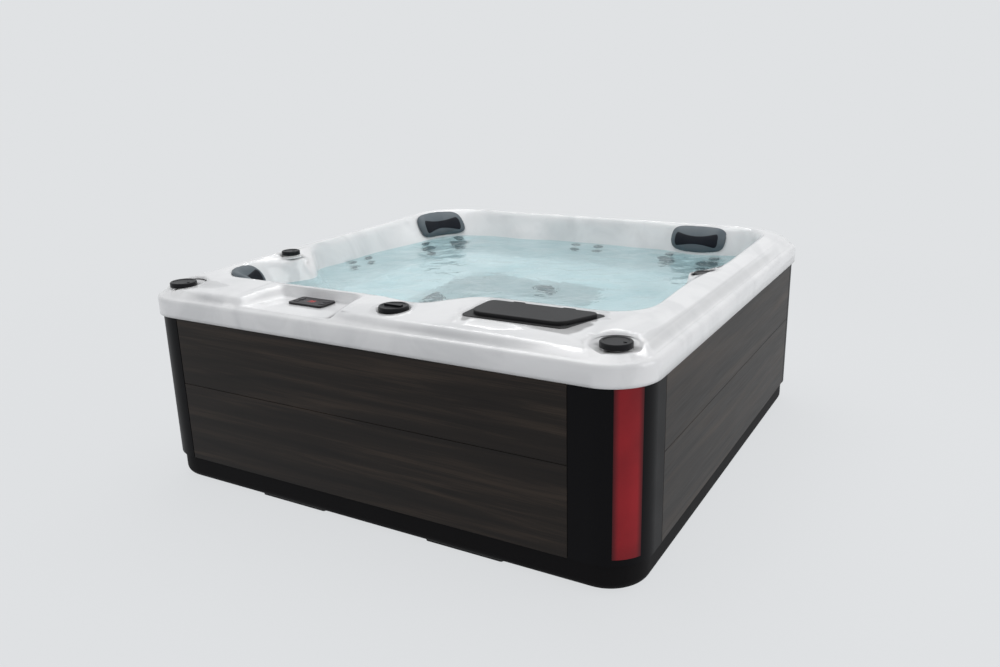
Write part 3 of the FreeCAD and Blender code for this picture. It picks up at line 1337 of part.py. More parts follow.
def pipe(corners, radius, bend):
    """A hollow pipe along straight runs with round bends."""
    lines = []
    start = corners[0]
    for before, here, after in zip(corners, corners[1:], corners[2:]):
        back, on = (before - here).normalize(), (after - here).normalize()
        first, last = here + back * bend, here + on * bend
        middle = here + (back + on) * (bend * (1 - math.sqrt(0.5)))
        lines += [Part.LineSegment(start, first).toShape(), Part.Arc(first, middle, last).toShape()]
        start = last
    lines.append(Part.LineSegment(start, corners[-1]).toShape())
    spine = Part.Wire(lines)
    ring = Part.Wire(Part.makeCircle(radius, corners[0], corners[1] - corners[0]))
    return outwards(Part.Solid(spine.makePipeShell([ring], True, False).Shells[0]))


inlets = [Vector(place.Base.x - v.wet_end_length - v.seat_gap, -v.pump_y, v.pump_z) for place in PUMPS]
ends = [place.multVec(Vector(0, 0, -v.suction_depth + v.pipe_radius / 4)) for place in suction_places]
outlets = [Vector(place.Base.x + outlet_x.value, -v.pump_y,
                  v.pump_z + v.wet_end_radius + v.inlet_length + v.seat_gap) for place in PUMPS]
left_run = -v.well_left - v.pipe_room
right_run = v.well_right + v.pipe_room
front_run = -v.well_front - v.pipe_room / 2
back_run = v.well_back + v.pipe_room
first_turn = v.box_left + v.box_length + 1.2 * v.pipe_radius
ROUTES = (
    [inlets[0], (left_run, -v.pump_y), (left_run, ends[0].y), ends[0]],
    [inlets[1], (first_turn, -v.pump_y), (first_turn, front_run), (right_run, front_run),
     (right_run, back_run), (ends[1].x, back_run), ends[1]])
runs = []
for route, place in zip(ROUTES, suction_places):
    corners = [Vector(*point, v.pump_z) if isinstance(point, tuple) else point for point in route]
    stub = Part.makeCylinder(2 * v.pipe_radius, v.suction_depth, Vector(0, 0, -v.suction_depth - v.seat_gap))
    stub.Placement = place
    runs.append(pipe(corners, v.pipe_radius, v.pipe_bend).cut(stub).Solids[0])
rise = [at_height(point, v.manifold_z) for point in outlets]
runs.append(pipe([outlets[0], *rise, outlets[1]], v.pipe_radius, v.pipe_bend))
formed("water_pipes", Part.makeCompound(runs))

# Check every piece, then write it out

doc.recompute()
for thing in doc.Objects:
    if "Invalid" in thing.State or "Error" in thing.State:
        raise ValueError(f"{thing.Label} does not build")
os.makedirs("parts", exist_ok=True)
for label, thing in nodes.items():
    if thing.Shape.isNull() or not thing.Shape.isValid() or not thing.Shape.Solids:
        raise ValueError(f"{label} is not a sound solid")
    thing.Shape.exportStep(f"parts/{label}.step")
for label, place in zip(JET_NAMES, large_places):
    axis = place.Rotation.multVec(Vector(0, 0, 1))
    print(label, [round(c, 6) for c in (*place.Base, *axis)])
print("lid hinge", hinge_middle.value, hinge_y.value, hinge_z.value)
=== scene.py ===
# %% [markdown]
# # A hot tub, dressed over its CAD frame
# The rigid parts of the tub come from CAD and are already in place. This lesson gives them finishes,
# smooths the moulded shell, turns the headrests into soft foam and fills the tub with water.

# %% Load the frame
import json
import math

import bmesh
import bpy
from mathutils import Matrix, Vector, noise
from mathutils.bvhtree import BVHTree


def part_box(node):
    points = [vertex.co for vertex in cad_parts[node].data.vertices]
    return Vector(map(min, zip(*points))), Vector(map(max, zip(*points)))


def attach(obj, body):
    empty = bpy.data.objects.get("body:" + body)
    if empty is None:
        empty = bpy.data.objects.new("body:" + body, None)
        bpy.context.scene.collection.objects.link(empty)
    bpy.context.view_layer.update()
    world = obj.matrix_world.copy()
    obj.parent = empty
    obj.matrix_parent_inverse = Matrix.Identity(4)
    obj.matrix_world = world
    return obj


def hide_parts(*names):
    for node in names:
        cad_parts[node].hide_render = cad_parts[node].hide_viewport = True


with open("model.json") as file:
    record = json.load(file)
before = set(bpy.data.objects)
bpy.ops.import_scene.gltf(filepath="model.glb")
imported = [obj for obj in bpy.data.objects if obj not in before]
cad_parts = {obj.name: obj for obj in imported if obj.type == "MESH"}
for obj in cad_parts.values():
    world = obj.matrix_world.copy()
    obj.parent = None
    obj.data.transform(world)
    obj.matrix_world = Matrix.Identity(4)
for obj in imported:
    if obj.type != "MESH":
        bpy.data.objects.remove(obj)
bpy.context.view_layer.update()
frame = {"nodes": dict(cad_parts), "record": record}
nodes = frame["nodes"]

# %% [markdown]
# ## Camera
# The photo was taken from eye height, a little to the right of the front. A camera could be aimed with a
# Track To constraint, but writing its three axes as a matrix keeps the slight roll of the hand-held shot.

# %% Camera
PHOTO_WIDTH = 1000
FOCAL_PIXELS = 883.0
SENSOR_WIDTH = 36
EYE = Vector((1.789, -3.105, 1.527))
YAW, PITCH, ROLL = (math.radians(a) for a in (30.214, 16.858, -1.48))

camera_data = bpy.data.cameras.new("camera")
camera_data.sensor_width = SENSOR_WIDTH
camera_data.lens = FOCAL_PIXELS * SENSOR_WIDTH / PHOTO_WIDTH
camera = bpy.data.objects.new("camera", camera_data)
bpy.context.scene.collection.objects.link(camera)
ahead = Vector((-math.sin(YAW) * math.cos(PITCH), math.cos(YAW) * math.cos(PITCH), -math.sin(PITCH)))
level = Vector((math.cos(YAW), math.sin(YAW), 0))
above = level.cross(ahead)
right = level * math.cos(ROLL) + above * math.sin(ROLL)
up = above * math.cos(ROLL) - level * math.sin(ROLL)
camera.matrix_world = Matrix.Translation(EYE) @ Matrix((right, up, -ahead)).transposed().to_4x4()
bpy.context.scene.camera = camera
print("lens", round(camera_data.lens, 2))

# %% [markdown]
# ## Floor
# A pale floor runs out to a world of the same colour. Seen by the camera, most of its brightness is its own
# glow, and far from the tub all of it: the floor meets the background without a line and still takes the
# soft shadow near the tub. Helpers that add, set and link nodes keep this tree and the later ones short.

# %% Node helpers
def set_inputs(node, **values):
    """Set inputs by name, with underscores in place of spaces."""
    for name, value in values.items():
        node.inputs[name.replace("_", " ")].default_value = value


def add_node(tree, kind, **values):
    """Add a node and set those of its inputs that have no link."""
    node = tree.nodes.new(kind)
    set_inputs(node, **values)
    return node


def math_node(tree, operation, first, second):
    """A math node between sockets or plain numbers."""
    node = tree.nodes.new("ShaderNodeMath")
    node.operation = operation
    for place, value in enumerate((first, second)):
        if isinstance(value, (int, float)):
            node.inputs[place].default_value = value
        else:
            tree.links.new(value, node.inputs[place])
    return node.outputs[0]


def mix_shaders(tree, share, first, second):
    """A mix of two shaders; the share is that of the second one."""
    mix = tree.nodes.new("ShaderNodeMixShader")
    for place, socket in enumerate((share, first, second)):
        tree.links.new(socket, mix.inputs[place])
    return mix.outputs[0]


def seen_directly(tree):
    """Socket that is one for rays that show the background itself."""
    rays = tree.nodes.new("ShaderNodeLightPath")
    mirrored = math_node(tree, "MAXIMUM", rays.outputs["Is Camera Ray"], rays.outputs["Is Glossy Ray"])
    return math_node(tree, "MAXIMUM", mirrored, rays.outputs["Is Transmission Ray"])


HELPERS = (set_inputs, add_node, math_node, mix_shaders, seen_directly)
print("helpers", [helper.__name__ for helper in HELPERS])

# %% Floor
BACKDROP = (0.745, 0.76, 0.775, 1)
FLOOR_COLOR = (0.85, 0.86, 0.875, 1)
FLOOR_REACH = 40.0
FLOOR_GLOW = dict(From_Min=1.2, From_Max=5.0, To_Min=0.88, To_Max=1.0)


def floor_paint():
    paint = bpy.data.materials.new("floor_paint")
    paint.use_nodes = True
    tree = paint.node_tree
    tree.nodes.clear()
    matte = add_node(tree, "ShaderNodeBsdfDiffuse", Color=FLOOR_COLOR)
    glow = add_node(tree, "ShaderNodeEmission", Color=BACKDROP)
    place = tree.nodes.new("ShaderNodeTexCoord")
    reach = tree.nodes.new("ShaderNodeVectorMath")
    reach.operation = "LENGTH"
    tree.links.new(place.outputs["Object"], reach.inputs[0])
    fade = add_node(tree, "ShaderNodeMapRange", **FLOOR_GLOW)
    fade.interpolation_type = "SMOOTHSTEP"
    tree.links.new(reach.outputs["Value"], fade.inputs["Value"])
    share = math_node(tree, "MULTIPLY", seen_directly(tree), fade.outputs[0])
    end = tree.nodes.new("ShaderNodeOutputMaterial")
    tree.links.new(mix_shaders(tree, share, matte.outputs[0], glow.outputs[0]), end.inputs["Surface"])
    return paint


def make_floor():
    mesh = bpy.data.meshes.new("floor")
    bm = bmesh.new()
    bmesh.ops.create_grid(bm, x_segments=1, y_segments=1, size=FLOOR_REACH)
    bm.to_mesh(mesh)
    bm.free()
    floor = bpy.data.objects.new("floor", mesh)
    bpy.context.scene.collection.objects.link(floor)
    mesh.materials.append(floor_paint())
    return floor


print("floor faces", len(make_floor().data.polygons))

# %% [markdown]
# ## World and lamps
# The world shows one colour and lights with another: rays that see it directly meet the backdrop, and all
# others a soft, slightly cool light. One small lamp would draw hard shadows. Two wide panels give soft
# ones, and a narrow strip draws bright lines on the glossy edges.

# %% World
WORLD_LIGHT = dict(Color=(0.97, 0.98, 1, 1), Strength=0.57)


def make_world():
    world = bpy.data.worlds.new("studio")
    bpy.context.scene.world = world
    world.use_nodes = True
    tree = world.node_tree
    tree.nodes.clear()
    shown = add_node(tree, "ShaderNodeBackground", Color=BACKDROP)
    light = add_node(tree, "ShaderNodeBackground", **WORLD_LIGHT)
    end = tree.nodes.new("ShaderNodeOutputWorld")
    mixed = mix_shaders(tree, seen_directly(tree), light.outputs[0], shown.outputs[0])
    tree.links.new(mixed, end.inputs["Surface"])
    return world


print("world", make_world().name)

# %% Lamps
LAMPS = {
    "overhead_panel": dict(place=(-0.5, 0.6, 4.6), target=(0, 0, 0.6), size=(3.6, 3.6), power=68),
    "side_panel": dict(place=(4.6, 0.4, 2.4), target=(0.6, 0, 0.5), size=(2.6, 2.6), power=42),
    "strip": dict(place=(-1.2, 2.2, 4.2), target=(0, 0, 0.7), size=(3.4, 0.22), power=26),
}


def soft_lamp(name, place, target, size, power):
    """A lamp panel of a width and a depth that looks at a point."""
    lamp = bpy.data.lights.new(name, "AREA")
    lamp.shape = "RECTANGLE"
    lamp.size, lamp.size_y = size
    lamp.energy = power
    thing = bpy.data.objects.new(name, lamp)
    bpy.context.scene.collection.objects.link(thing)
    look = Vector(target) - Vector(place)
    thing.matrix_world = Matrix.Translation(place) @ look.to_track_quat("-Z", "Y").to_matrix().to_4x4()


for lamp_name, lamp_values in LAMPS.items():
    soft_lamp(lamp_name, **lamp_values)
bpy.context.scene.view_settings.view_transform = "Standard"

# %% [markdown]
# ## Shared finishes
# Moulded plastic is never one flat colour: it has a faint cloudiness and a fine grain. Both could be painted
# for each part, but noise in one node group does it for all: every part uses the group with its own values.

# %% Mottle group
CLOUD_DETAIL, GRAIN_DETAIL = 5.0, 2.0
NOISE_MEAN = 0.5


def scaled(tree, value, factor, start):
    """A value times a factor, added to a start."""
    return math_node(tree, "ADD", math_node(tree, "MULTIPLY", value, factor), start)


def noise_node(tree, place, **values):
    """Noise that is read off at a place."""
    pattern = add_node(tree, "ShaderNodeTexNoise", **values)
    tree.links.new(place, pattern.inputs["Vector"])
    return pattern


def make_mottle():
    group = bpy.data.node_groups.new("mottle", "ShaderNodeTree")
    sockets = group.interface
    sockets.new_socket("Color", in_out="INPUT", socket_type="NodeSocketColor")
    for name in ("Scale", "Contrast", "Roughness", "Spread", "Grain"):
        sockets.new_socket(name, in_out="INPUT", socket_type="NodeSocketFloat")
    sockets.new_socket("Color", in_out="OUTPUT", socket_type="NodeSocketColor")
    for name in ("Roughness", "Height"):
        sockets.new_socket(name, in_out="OUTPUT", socket_type="NodeSocketFloat")
    given = group.nodes.new("NodeGroupInput").outputs
    result = group.nodes.new("NodeGroupOutput").inputs
    place = group.nodes.new("ShaderNodeTexCoord").outputs["Object"]
    cloud = noise_node(group, place, Detail=CLOUD_DETAIL)
    group.links.new(given["Scale"], cloud.inputs["Scale"])
    swing = math_node(group, "SUBTRACT", cloud.outputs["Fac"], NOISE_MEAN)
    shade = group.nodes.new("ShaderNodeHueSaturation")
    group.links.new(scaled(group, swing, given["Contrast"], 1.0), shade.inputs["Value"])
    group.links.new(given["Color"], shade.inputs["Color"])
    fine = noise_node(group, place, Detail=GRAIN_DETAIL)
    group.links.new(given["Grain"], fine.inputs["Scale"])
    group.links.new(shade.outputs["Color"], result["Color"])
    group.links.new(scaled(group, swing, given["Spread"], given["Roughness"]), result["Roughness"])
    group.links.new(fine.outputs["Fac"], result["Height"])
    return group


mottle = make_mottle()
print("group", mottle.name, len(mottle.nodes))

# %% Plastic finish
GRAIN_DEPTH = 0.0004


def start_material(name):
    paint = bpy.data.materials.new(name)
    paint.use_nodes = True
    return paint, paint.node_tree, paint.node_tree.nodes["Principled BSDF"]


def add_relief(tree, surface, height, **values):
    """Bump a surface by the height that a socket gives."""
    relief = add_node(tree, "ShaderNodeBump", **values)
    tree.links.new(height, relief.inputs["Height"])
    tree.links.new(relief.outputs["Normal"], surface.inputs["Normal"])


def plastic(name, color, scale=6.0, contrast=0.25, roughness=0.4, spread=0.15, grain=900.0, bump=0.08,
            **shader):
    """A moulded plastic; further values go straight to the shader."""
    paint, tree, surface = start_material(name)
    look = tree.nodes.new("ShaderNodeGroup")
    look.node_tree = mottle
    set_inputs(look, Color=(*color, 1), Scale=scale, Contrast=contrast)
    set_inputs(look, Roughness=roughness, Spread=spread, Grain=grain)
    tree.links.new(look.outputs["Color"], surface.inputs["Base Color"])
    tree.links.new(look.outputs["Roughness"], surface.inputs["Roughness"])
    add_relief(tree, surface, look.outputs["Height"], Strength=bump, Distance=GRAIN_DEPTH)
    set_inputs(surface, **shader)
    return paint


print("grain depth", GRAIN_DEPTH)

# %% Table of plain finishes
PLAIN = {
    "cover_black": dict(color=(0.0035, 0.0033, 0.0042), roughness=0.42, contrast=0.3,
                        Specular_IOR_Level=0.08),
    "pan_plastic": dict(color=(0.006, 0.0055, 0.006), roughness=0.6, grain=500.0, Specular_IOR_Level=0.07),
    "foot_rubber": dict(color=(0.008, 0.008, 0.008), roughness=0.8, grain=400.0, bump=0.2),
    "knob_plastic": dict(color=(0.009, 0.009, 0.0105), roughness=0.36, grain=1400.0, bump=0.15,
                         Specular_IOR_Level=0.14),
    "trim_plastic": dict(color=(0.017, 0.017, 0.018), roughness=0.52, grain=1300.0, bump=0.25,
                         Specular_IOR_Level=0.18),
    "bezel_plastic": dict(color=(0.022, 0.02, 0.022), roughness=0.35, Specular_IOR_Level=0.25),
    "button_rubber": dict(color=(0.06, 0.058, 0.062), roughness=0.55, Specular_IOR_Level=0.25),
    "display_glass": dict(color=(0.02, 0.008, 0.009), roughness=0.08, spread=0.02, bump=0.0),
    "jet_plastic": dict(color=(0.06, 0.075, 0.085), roughness=0.3),
    "lamp_lens": dict(color=(0.6, 0.66, 0.7), roughness=0.15),
    "pipe_plastic": dict(color=(0.72, 0.72, 0.7), roughness=0.45),
    "black_plastic": dict(color=(0.02, 0.02, 0.02), roughness=0.5),
    "light_bar": dict(color=(0.5, 0.1, 0.1), roughness=0.5),
    "peg_plastic": dict(color=(0.05, 0.05, 0.05), roughness=0.5),
    "cap_blue": dict(color=(0.03, 0.1, 0.28), roughness=0.4),
    "filter_cloth": dict(color=(0.75, 0.75, 0.72), roughness=0.9, grain=300.0, bump=0.4),
    "foam_block": dict(color=(0.7, 0.62, 0.42), roughness=0.9, grain=200.0, bump=0.5),
    "motor_paint": dict(color=(0.03, 0.03, 0.035), roughness=0.35),
    "steel": dict(color=(0.55, 0.55, 0.57), roughness=0.3, Metallic=1.0),
    "insert_dark": dict(color=(0.005, 0.007, 0.012), roughness=0.5, grain=700.0, bump=0.3,
                        Specular_IOR_Level=0.16),
    "frame_wood": dict(color=(0.42, 0.29, 0.16), scale=14.0, roughness=0.75, grain=220.0, bump=0.4),
}
FINISHES = {name: plastic(name, **values) for name, values in PLAIN.items()}
print("plain finishes", len(FINISHES))

# %% [markdown]
# ## Wood-grain boards
# The cabinet boards are dark and brushed, with streaks that run along the board. Noise that is stretched
# along one axis gives such streaks; a second, finer one gives the fibres that catch the light. The upper and
# the lower board take their pattern from different places, so that no streak crosses the seam.

# %% Board finish
BOARD_SEAM = (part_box("front_panel")[0].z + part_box("front_panel")[1].z) / 2
BOARD_SHIFT = 7.3
STREAKS = dict(length=1.3, width=26.0, Detail=6.0, Distortion=0.7)
FIBRES = dict(length=5.0, width=260.0, Detail=3.0, Distortion=0.0)
STREAK_SHARE, FIBRE_SHARE = 0.72, 0.28
BOARD_STOPS = (
    (0.36, (0.004, 0.0032, 0.0028, 1)),
    (0.5, (0.0105, 0.0078, 0.0062, 1)),
    (0.66, (0.033, 0.0235, 0.0172, 1)),
)
BOARD_SHINE = dict(Specular_IOR_Level=0.23, Specular_Tint=(1, 0.93, 0.9, 1))
BOARD_ROUGHNESS, FIBRE_ROUGHNESS = 0.36, 0.2
BOARD_RELIEF = dict(Strength=0.35, Distance=0.0006)


def color_ramp(tree, value, stops):
    """Colour at a value, from stops of a position and a colour each."""
    ramp = tree.nodes.new("ShaderNodeValToRGB")
    elements = ramp.color_ramp.elements
    elements[0].position, elements[0].color = stops[0]
    elements[1].position, elements[1].color = stops[-1]
    for position, color in stops[1:-1]:
        elements.new(position).color = color
    tree.links.new(value, ramp.inputs["Fac"])
    return ramp.outputs["Color"]


def board_places(tree):
    """Places on the boards, with the upper board moved away from the lower one."""
    place = tree.nodes.new("ShaderNodeTexCoord")
    split = tree.nodes.new("ShaderNodeSeparateXYZ")
    tree.links.new(place.outputs["Object"], split.inputs[0])
    upper = math_node(tree, "GREATER_THAN", split.outputs["Z"], BOARD_SEAM)
    apart = math_node(tree, "MULTIPLY", upper, BOARD_SHIFT)
    shifted = tree.nodes.new("ShaderNodeCombineXYZ")
    for axis, socket in enumerate("XYZ"):
        tree.links.new(math_node(tree, "ADD", split.outputs[socket], apart), shifted.inputs[axis])
    return shifted.outputs[0]


def stretched_noise(tree, places, along, length, width, **values):
    """Noise that is stretched along one axis."""
    stretch = tree.nodes.new("ShaderNodeMapping")
    stretch.inputs["Scale"].default_value = [length if axis == along else width for axis in range(3)]
    tree.links.new(places, stretch.inputs["Vector"])
    return noise_node(tree, stretch.outputs[0], Scale=1.0, **values).outputs["Fac"]


def board_wood(name, along):
    """Dark wood with its grain along X (0) or Y (1)."""
    paint, tree, surface = start_material(name)
    places = board_places(tree)
    broad = stretched_noise(tree, places, along, **STREAKS)
    fibre = stretched_noise(tree, places, along, **FIBRES)
    mixed = scaled(tree, broad, STREAK_SHARE, math_node(tree, "MULTIPLY", fibre, FIBRE_SHARE))
    tree.links.new(color_ramp(tree, mixed, BOARD_STOPS), surface.inputs["Base Color"])
    tree.links.new(scaled(tree, fibre, FIBRE_ROUGHNESS, BOARD_ROUGHNESS), surface.inputs["Roughness"])
    set_inputs(surface, **BOARD_SHINE)
    add_relief(tree, surface, mixed, **BOARD_RELIEF)
    return paint


BOARDS = {"front_panel": 0, "back_panel": 0, "right_panel": 1, "left_panel": 1}
board_finishes = [board_wood("board_wood_long", 0), board_wood("board_wood_side", 1)]
print("boards", list(BOARDS), "seam", round(BOARD_SEAM, 3))

# %% [markdown]
# ## Red corner light
# The lens in the front right corner is clear red plastic with a lamp strip behind it. Tracing light through
# it would be slow and noisy, so it gets a weak glow of its own. Its glow and its red colour both fade
# towards its two upright edges and a little at its bottom, as painted light from the strip.

# %% Lens finish
LENS_FOOT = 0.06
LENS_FOOT_LIGHT, LENS_EDGE_LIGHT = 0.7, 0.1
LENS_EDGE_START = 0.55
LENS_CLOUD = dict(Scale=5.0, Detail=3.0)
LENS_LEAST = 0.15
LENS_STOPS = ((0.0, (0.035, 0.003, 0.005, 1)), (1.0, (0.24, 0.009, 0.0135, 1)))
LENS_SHADER = dict(Emission_Strength=0.35, Roughness=0.35, Specular_IOR_Level=0.2)


def red_lens():
    paint, tree, surface = start_material("red_lens")
    low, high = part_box("corner_light_lens")
    place = tree.nodes.new("ShaderNodeTexCoord")
    split = tree.nodes.new("ShaderNodeSeparateXYZ")
    tree.links.new(place.outputs["Object"], split.inputs[0])
    foot = add_node(tree, "ShaderNodeMapRange", From_Min=low.z, From_Max=low.z + LENS_FOOT,
                    To_Min=LENS_FOOT_LIGHT, To_Max=1.0)
    tree.links.new(split.outputs["Z"], foot.inputs["Value"])
    across = math_node(tree, "ADD", split.outputs["X"], split.outputs["Y"])
    middle, half = (low.x + low.y + high.x + high.y) / 2, (high.x + high.y - low.x - low.y) / 2
    aside = math_node(tree, "ABSOLUTE", math_node(tree, "SUBTRACT", across, middle), 0.0)
    edge = add_node(tree, "ShaderNodeMapRange", From_Min=half * LENS_EDGE_START, From_Max=half,
                    To_Min=1.0, To_Max=LENS_EDGE_LIGHT)
    edge.interpolation_type = "SMOOTHSTEP"
    tree.links.new(aside, edge.inputs["Value"])
    # Painted light of the strip behind: glow and red colour fade together towards the edges and the bottom.
    lit = math_node(tree, "MULTIPLY", foot.outputs[0], edge.outputs[0])
    cloud = noise_node(tree, place.outputs["Object"], **LENS_CLOUD)
    least = math_node(tree, "ADD", cloud.outputs["Fac"], LENS_LEAST)
    red = color_ramp(tree, math_node(tree, "MULTIPLY", least, lit), LENS_STOPS)
    for socket in ("Base Color", "Emission Color"):
        tree.links.new(red, surface.inputs[socket])
    set_inputs(surface, **LENS_SHADER)
    return paint


FINISHES["red_lens"] = red_lens()

# %% [markdown]
# ## Acrylic shell
# The shell is one vacuum-formed sheet of white acrylic with faint grey clouds. The CAD solid is made of
# narrow strips, which would show as facets, so a merged copy with smooth shading stands in for it. A hot
# sheet never takes a sharp edge. A Bevel modifier could round the edges, but the narrow strips leave it
# little room. Here the mesh is split finer and smoothed around the control panel only, and the Bevel node
# rounds the shading of every other edge without moving a point.

# %% Acrylic finish
VEINS = dict(Scale=2.6, Detail=7.0, Distortion=2.2)
VEIN_STOPS = ((0.35, (0.75, 0.754, 0.759, 1)), (0.56, (0.845, 0.846, 0.848, 1)))
ACRYLIC_ROUGHNESS, VEIN_ROUGHNESS = 0.07, 0.06
ACRYLIC_COAT = dict(Coat_Weight=0.4, Coat_Roughness=0.06)
ROUNDED_EDGE, ROUNDED_SAMPLES = 0.02, 8


def acrylic():
    paint, tree, surface = start_material("acrylic")
    place = tree.nodes.new("ShaderNodeTexCoord")
    veins = noise_node(tree, place.outputs["Object"], **VEINS).outputs["Fac"]
    tree.links.new(color_ramp(tree, veins, VEIN_STOPS), surface.inputs["Base Color"])
    tree.links.new(scaled(tree, veins, VEIN_ROUGHNESS, ACRYLIC_ROUGHNESS), surface.inputs["Roughness"])
    set_inputs(surface, **ACRYLIC_COAT)
    rounded = add_node(tree, "ShaderNodeBevel", Radius=ROUNDED_EDGE)
    rounded.samples = ROUNDED_SAMPLES
    for socket in ("Normal", "Coat Normal"):
        tree.links.new(rounded.outputs["Normal"], surface.inputs[socket])
    return paint


FINISHES["acrylic"] = acrylic()
print("acrylic nodes", len(FINISHES["acrylic"].node_tree.nodes))

# %% Smooth copy of the shell
MERGE_DISTANCE = 0.00002
SHARP = math.radians(38)
SOFT_MARGIN = Vector((0.24, 0.1, 0.04))
SOFT_EDGE = 0.011
SOFT_SPLITS = 4
SOFT_ROUNDS = 7
SETTLE_STEP = 0.5


def new_piece(name, mesh, body="tub"):
    """Put a finished mesh in the scene and let it ride on a body."""
    piece = bpy.data.objects.new(name, mesh)
    bpy.context.scene.collection.objects.link(piece)
    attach(piece, body)
    return piece


def merged_copy(node, name):
    """A copy of a CAD mesh with its loose triangles joined."""
    mesh = nodes[node].data.copy()
    mesh.name = name
    bm = bmesh.new()
    bm.from_mesh(mesh)
    bmesh.ops.remove_doubles(bm, verts=bm.verts, dist=MERGE_DISTANCE)
    bm.to_mesh(mesh)
    bm.free()
    mesh.materials.clear()
    return mesh


def settle(bm, verts, rounds):
    """Let points settle between their neighbours."""
    axes = dict(use_axis_x=True, use_axis_y=True, use_axis_z=True)
    for _ in range(rounds):
        bmesh.ops.smooth_vert(bm, verts=verts, factor=SETTLE_STEP, **axes)


def soften(mesh, low, high):
    """Split the long edges in a box and let its points settle."""
    def inside(vert):
        return all(low[i] < vert.co[i] < high[i] for i in range(3))

    bm = bmesh.new()
    bm.from_mesh(mesh)
    for _ in range(SOFT_SPLITS):
        long = [edge for edge in bm.edges if edge.calc_length() > SOFT_EDGE and any(map(inside, edge.verts))]
        bmesh.ops.subdivide_edges(bm, edges=long, cuts=1)
        bmesh.ops.triangulate(bm, faces=[face for face in bm.faces if len(face.verts) > 3])
    settle(bm, [vert for vert in bm.verts if inside(vert)], SOFT_ROUNDS)
    bm.to_mesh(mesh)
    bm.free()


shell_mesh = merged_copy("acrylic_shell", "smooth_shell")
panel_low, panel_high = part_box("control_bezel")
soften(shell_mesh, panel_low - SOFT_MARGIN, panel_high + SOFT_MARGIN)
shell_mesh.shade_smooth()
shell_mesh.set_sharp_from_angle(angle=SHARP)
shell_mesh.materials.append(FINISHES["acrylic"])
shell = new_piece("smooth_shell", shell_mesh)
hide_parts("acrylic_shell")
print("shell faces", len(shell_mesh.polygons), "points", len(shell_mesh.vertices))

# %% [markdown]
# ## Headrests
# Each headrest is a soft foam pad with a skin, crowned in the middle and rounded all over. Sculpting one by
# hand would be hard to repeat. A voxel remesh of the CAD solid gives an even skin, and a few rounds of
# smoothing soften it. Foam swells into a full oblong: every point is moved away from the middle, seen from
# the water, by as much as the outline lacks there. The oblong is a superellipse, which lies between an
# ellipse and a rectangle. A subdivision finishes the skin.

# %% Foam finish and outline of a pad
FOAM = dict(color=(0.078, 0.1, 0.116), scale=9.0, contrast=0.16, roughness=0.5, grain=1600.0, bump=0.35)
FINISHES["headrest_foam"] = plastic("headrest_foam", **FOAM)
SQUARENESS = 3.6
SECTORS = 72
UP = Vector((0, 0, 1))


def pad_axes(points):
    """Middle of a pad, the level direction along it and the level direction to the water."""
    middle = Vector([(max(p[i] for p in points) + min(p[i] for p in points)) / 2 for i in range(3)])
    xx = sum((p.x - middle.x) ** 2 for p in points)
    yy = sum((p.y - middle.y) ** 2 for p in points)
    xy = sum((p.x - middle.x) * (p.y - middle.y) for p in points)
    turn = 0.5 * math.atan2(2 * xy, xx - yy)
    front = Vector((-math.sin(turn), math.cos(turn), 0))
    if front.dot(middle) > 0:
        front.negate()
    along = front.cross(UP)
    spans = [(p - middle).dot(along) for p in points]
    return middle + along * (max(spans) + min(spans)) / 2, along, front


def fill_out(verts):
    """Swell a pad so that it has the outline of an oblong, seen from the water."""
    middle, along, _ = pad_axes([vert.co for vert in verts])
    half_along = max(abs((vert.co - middle).dot(along)) for vert in verts)
    half_up = max(abs(vert.co.z - middle.z) for vert in verts)
    offsets = [vert.co - middle for vert in verts]
    places = [(offset.dot(along) / half_along, offset.z / half_up) for offset in offsets]
    edge = [0.0] * SECTORS
    for side, high in places:
        sector = math.floor(math.atan2(high, side) / math.tau * SECTORS) % SECTORS
        edge[sector] = max(edge[sector], math.hypot(side, high))
    for vert, (side, high) in zip(verts, places):
        turn = math.atan2(high, side)
        whole, part = divmod(turn / math.tau * SECTORS - 0.5, 1)
        outline = edge[int(whole) % SECTORS] * (1 - part) + edge[int(whole + 1) % SECTORS] * part
        wide, tall = abs(math.cos(turn)), abs(math.sin(turn))
        oblong = (wide ** SQUARENESS + tall ** SQUARENESS) ** (-1 / SQUARENESS)
        grow = min(oblong, 1 / max(wide, tall)) / outline - 1
        vert.co += along * side * half_along * grow + UP * high * half_up * grow


print("foam", FOAM["color"], "sectors", SECTORS)

# %% Soft pads
RESTS = ("back_left", "back_right", "front_left")
VOXEL = 0.004
PAD_ROUNDS = 12


def soft_pad(rest):
    mesh = merged_copy(f"headrest_{rest}", f"soft_headrest_{rest}")
    pad = new_piece(f"soft_headrest_{rest}", mesh)
    even = pad.modifiers.new("even", "REMESH")
    even.mode = "VOXEL"
    even.voxel_size = VOXEL
    graph = bpy.context.evaluated_depsgraph_get()
    skin = bpy.data.meshes.new_from_object(pad.evaluated_get(graph))
    pad.modifiers.clear()
    bm = bmesh.new()
    bm.from_mesh(skin)
    settle(bm, bm.verts, PAD_ROUNDS)
    fill_out(list(bm.verts))
    bm.to_mesh(mesh)
    bm.free()
    mesh.shade_smooth()
    mesh.materials.clear()
    mesh.materials.append(FINISHES["headrest_foam"])
    finer = pad.modifiers.new("finer", "SUBSURF")
    finer.levels = finer.render_levels = 1
    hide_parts(f"headrest_{rest}")
    return pad


pads = [soft_pad(rest) for rest in RESTS]
print("pads", [(pad.name, len(pad.data.polygons)) for pad in pads])

# %% [markdown]
# ## Inserts on the headrests
# A dark hourglass lies on the face of each pad. A Shrinkwrap modifier could lay a flat one on the foam. Here
# each of its points is dropped onto the foam with a ray from the front, so that the insert follows the crown
# and its rim can dip a little into the skin, as if pressed in.

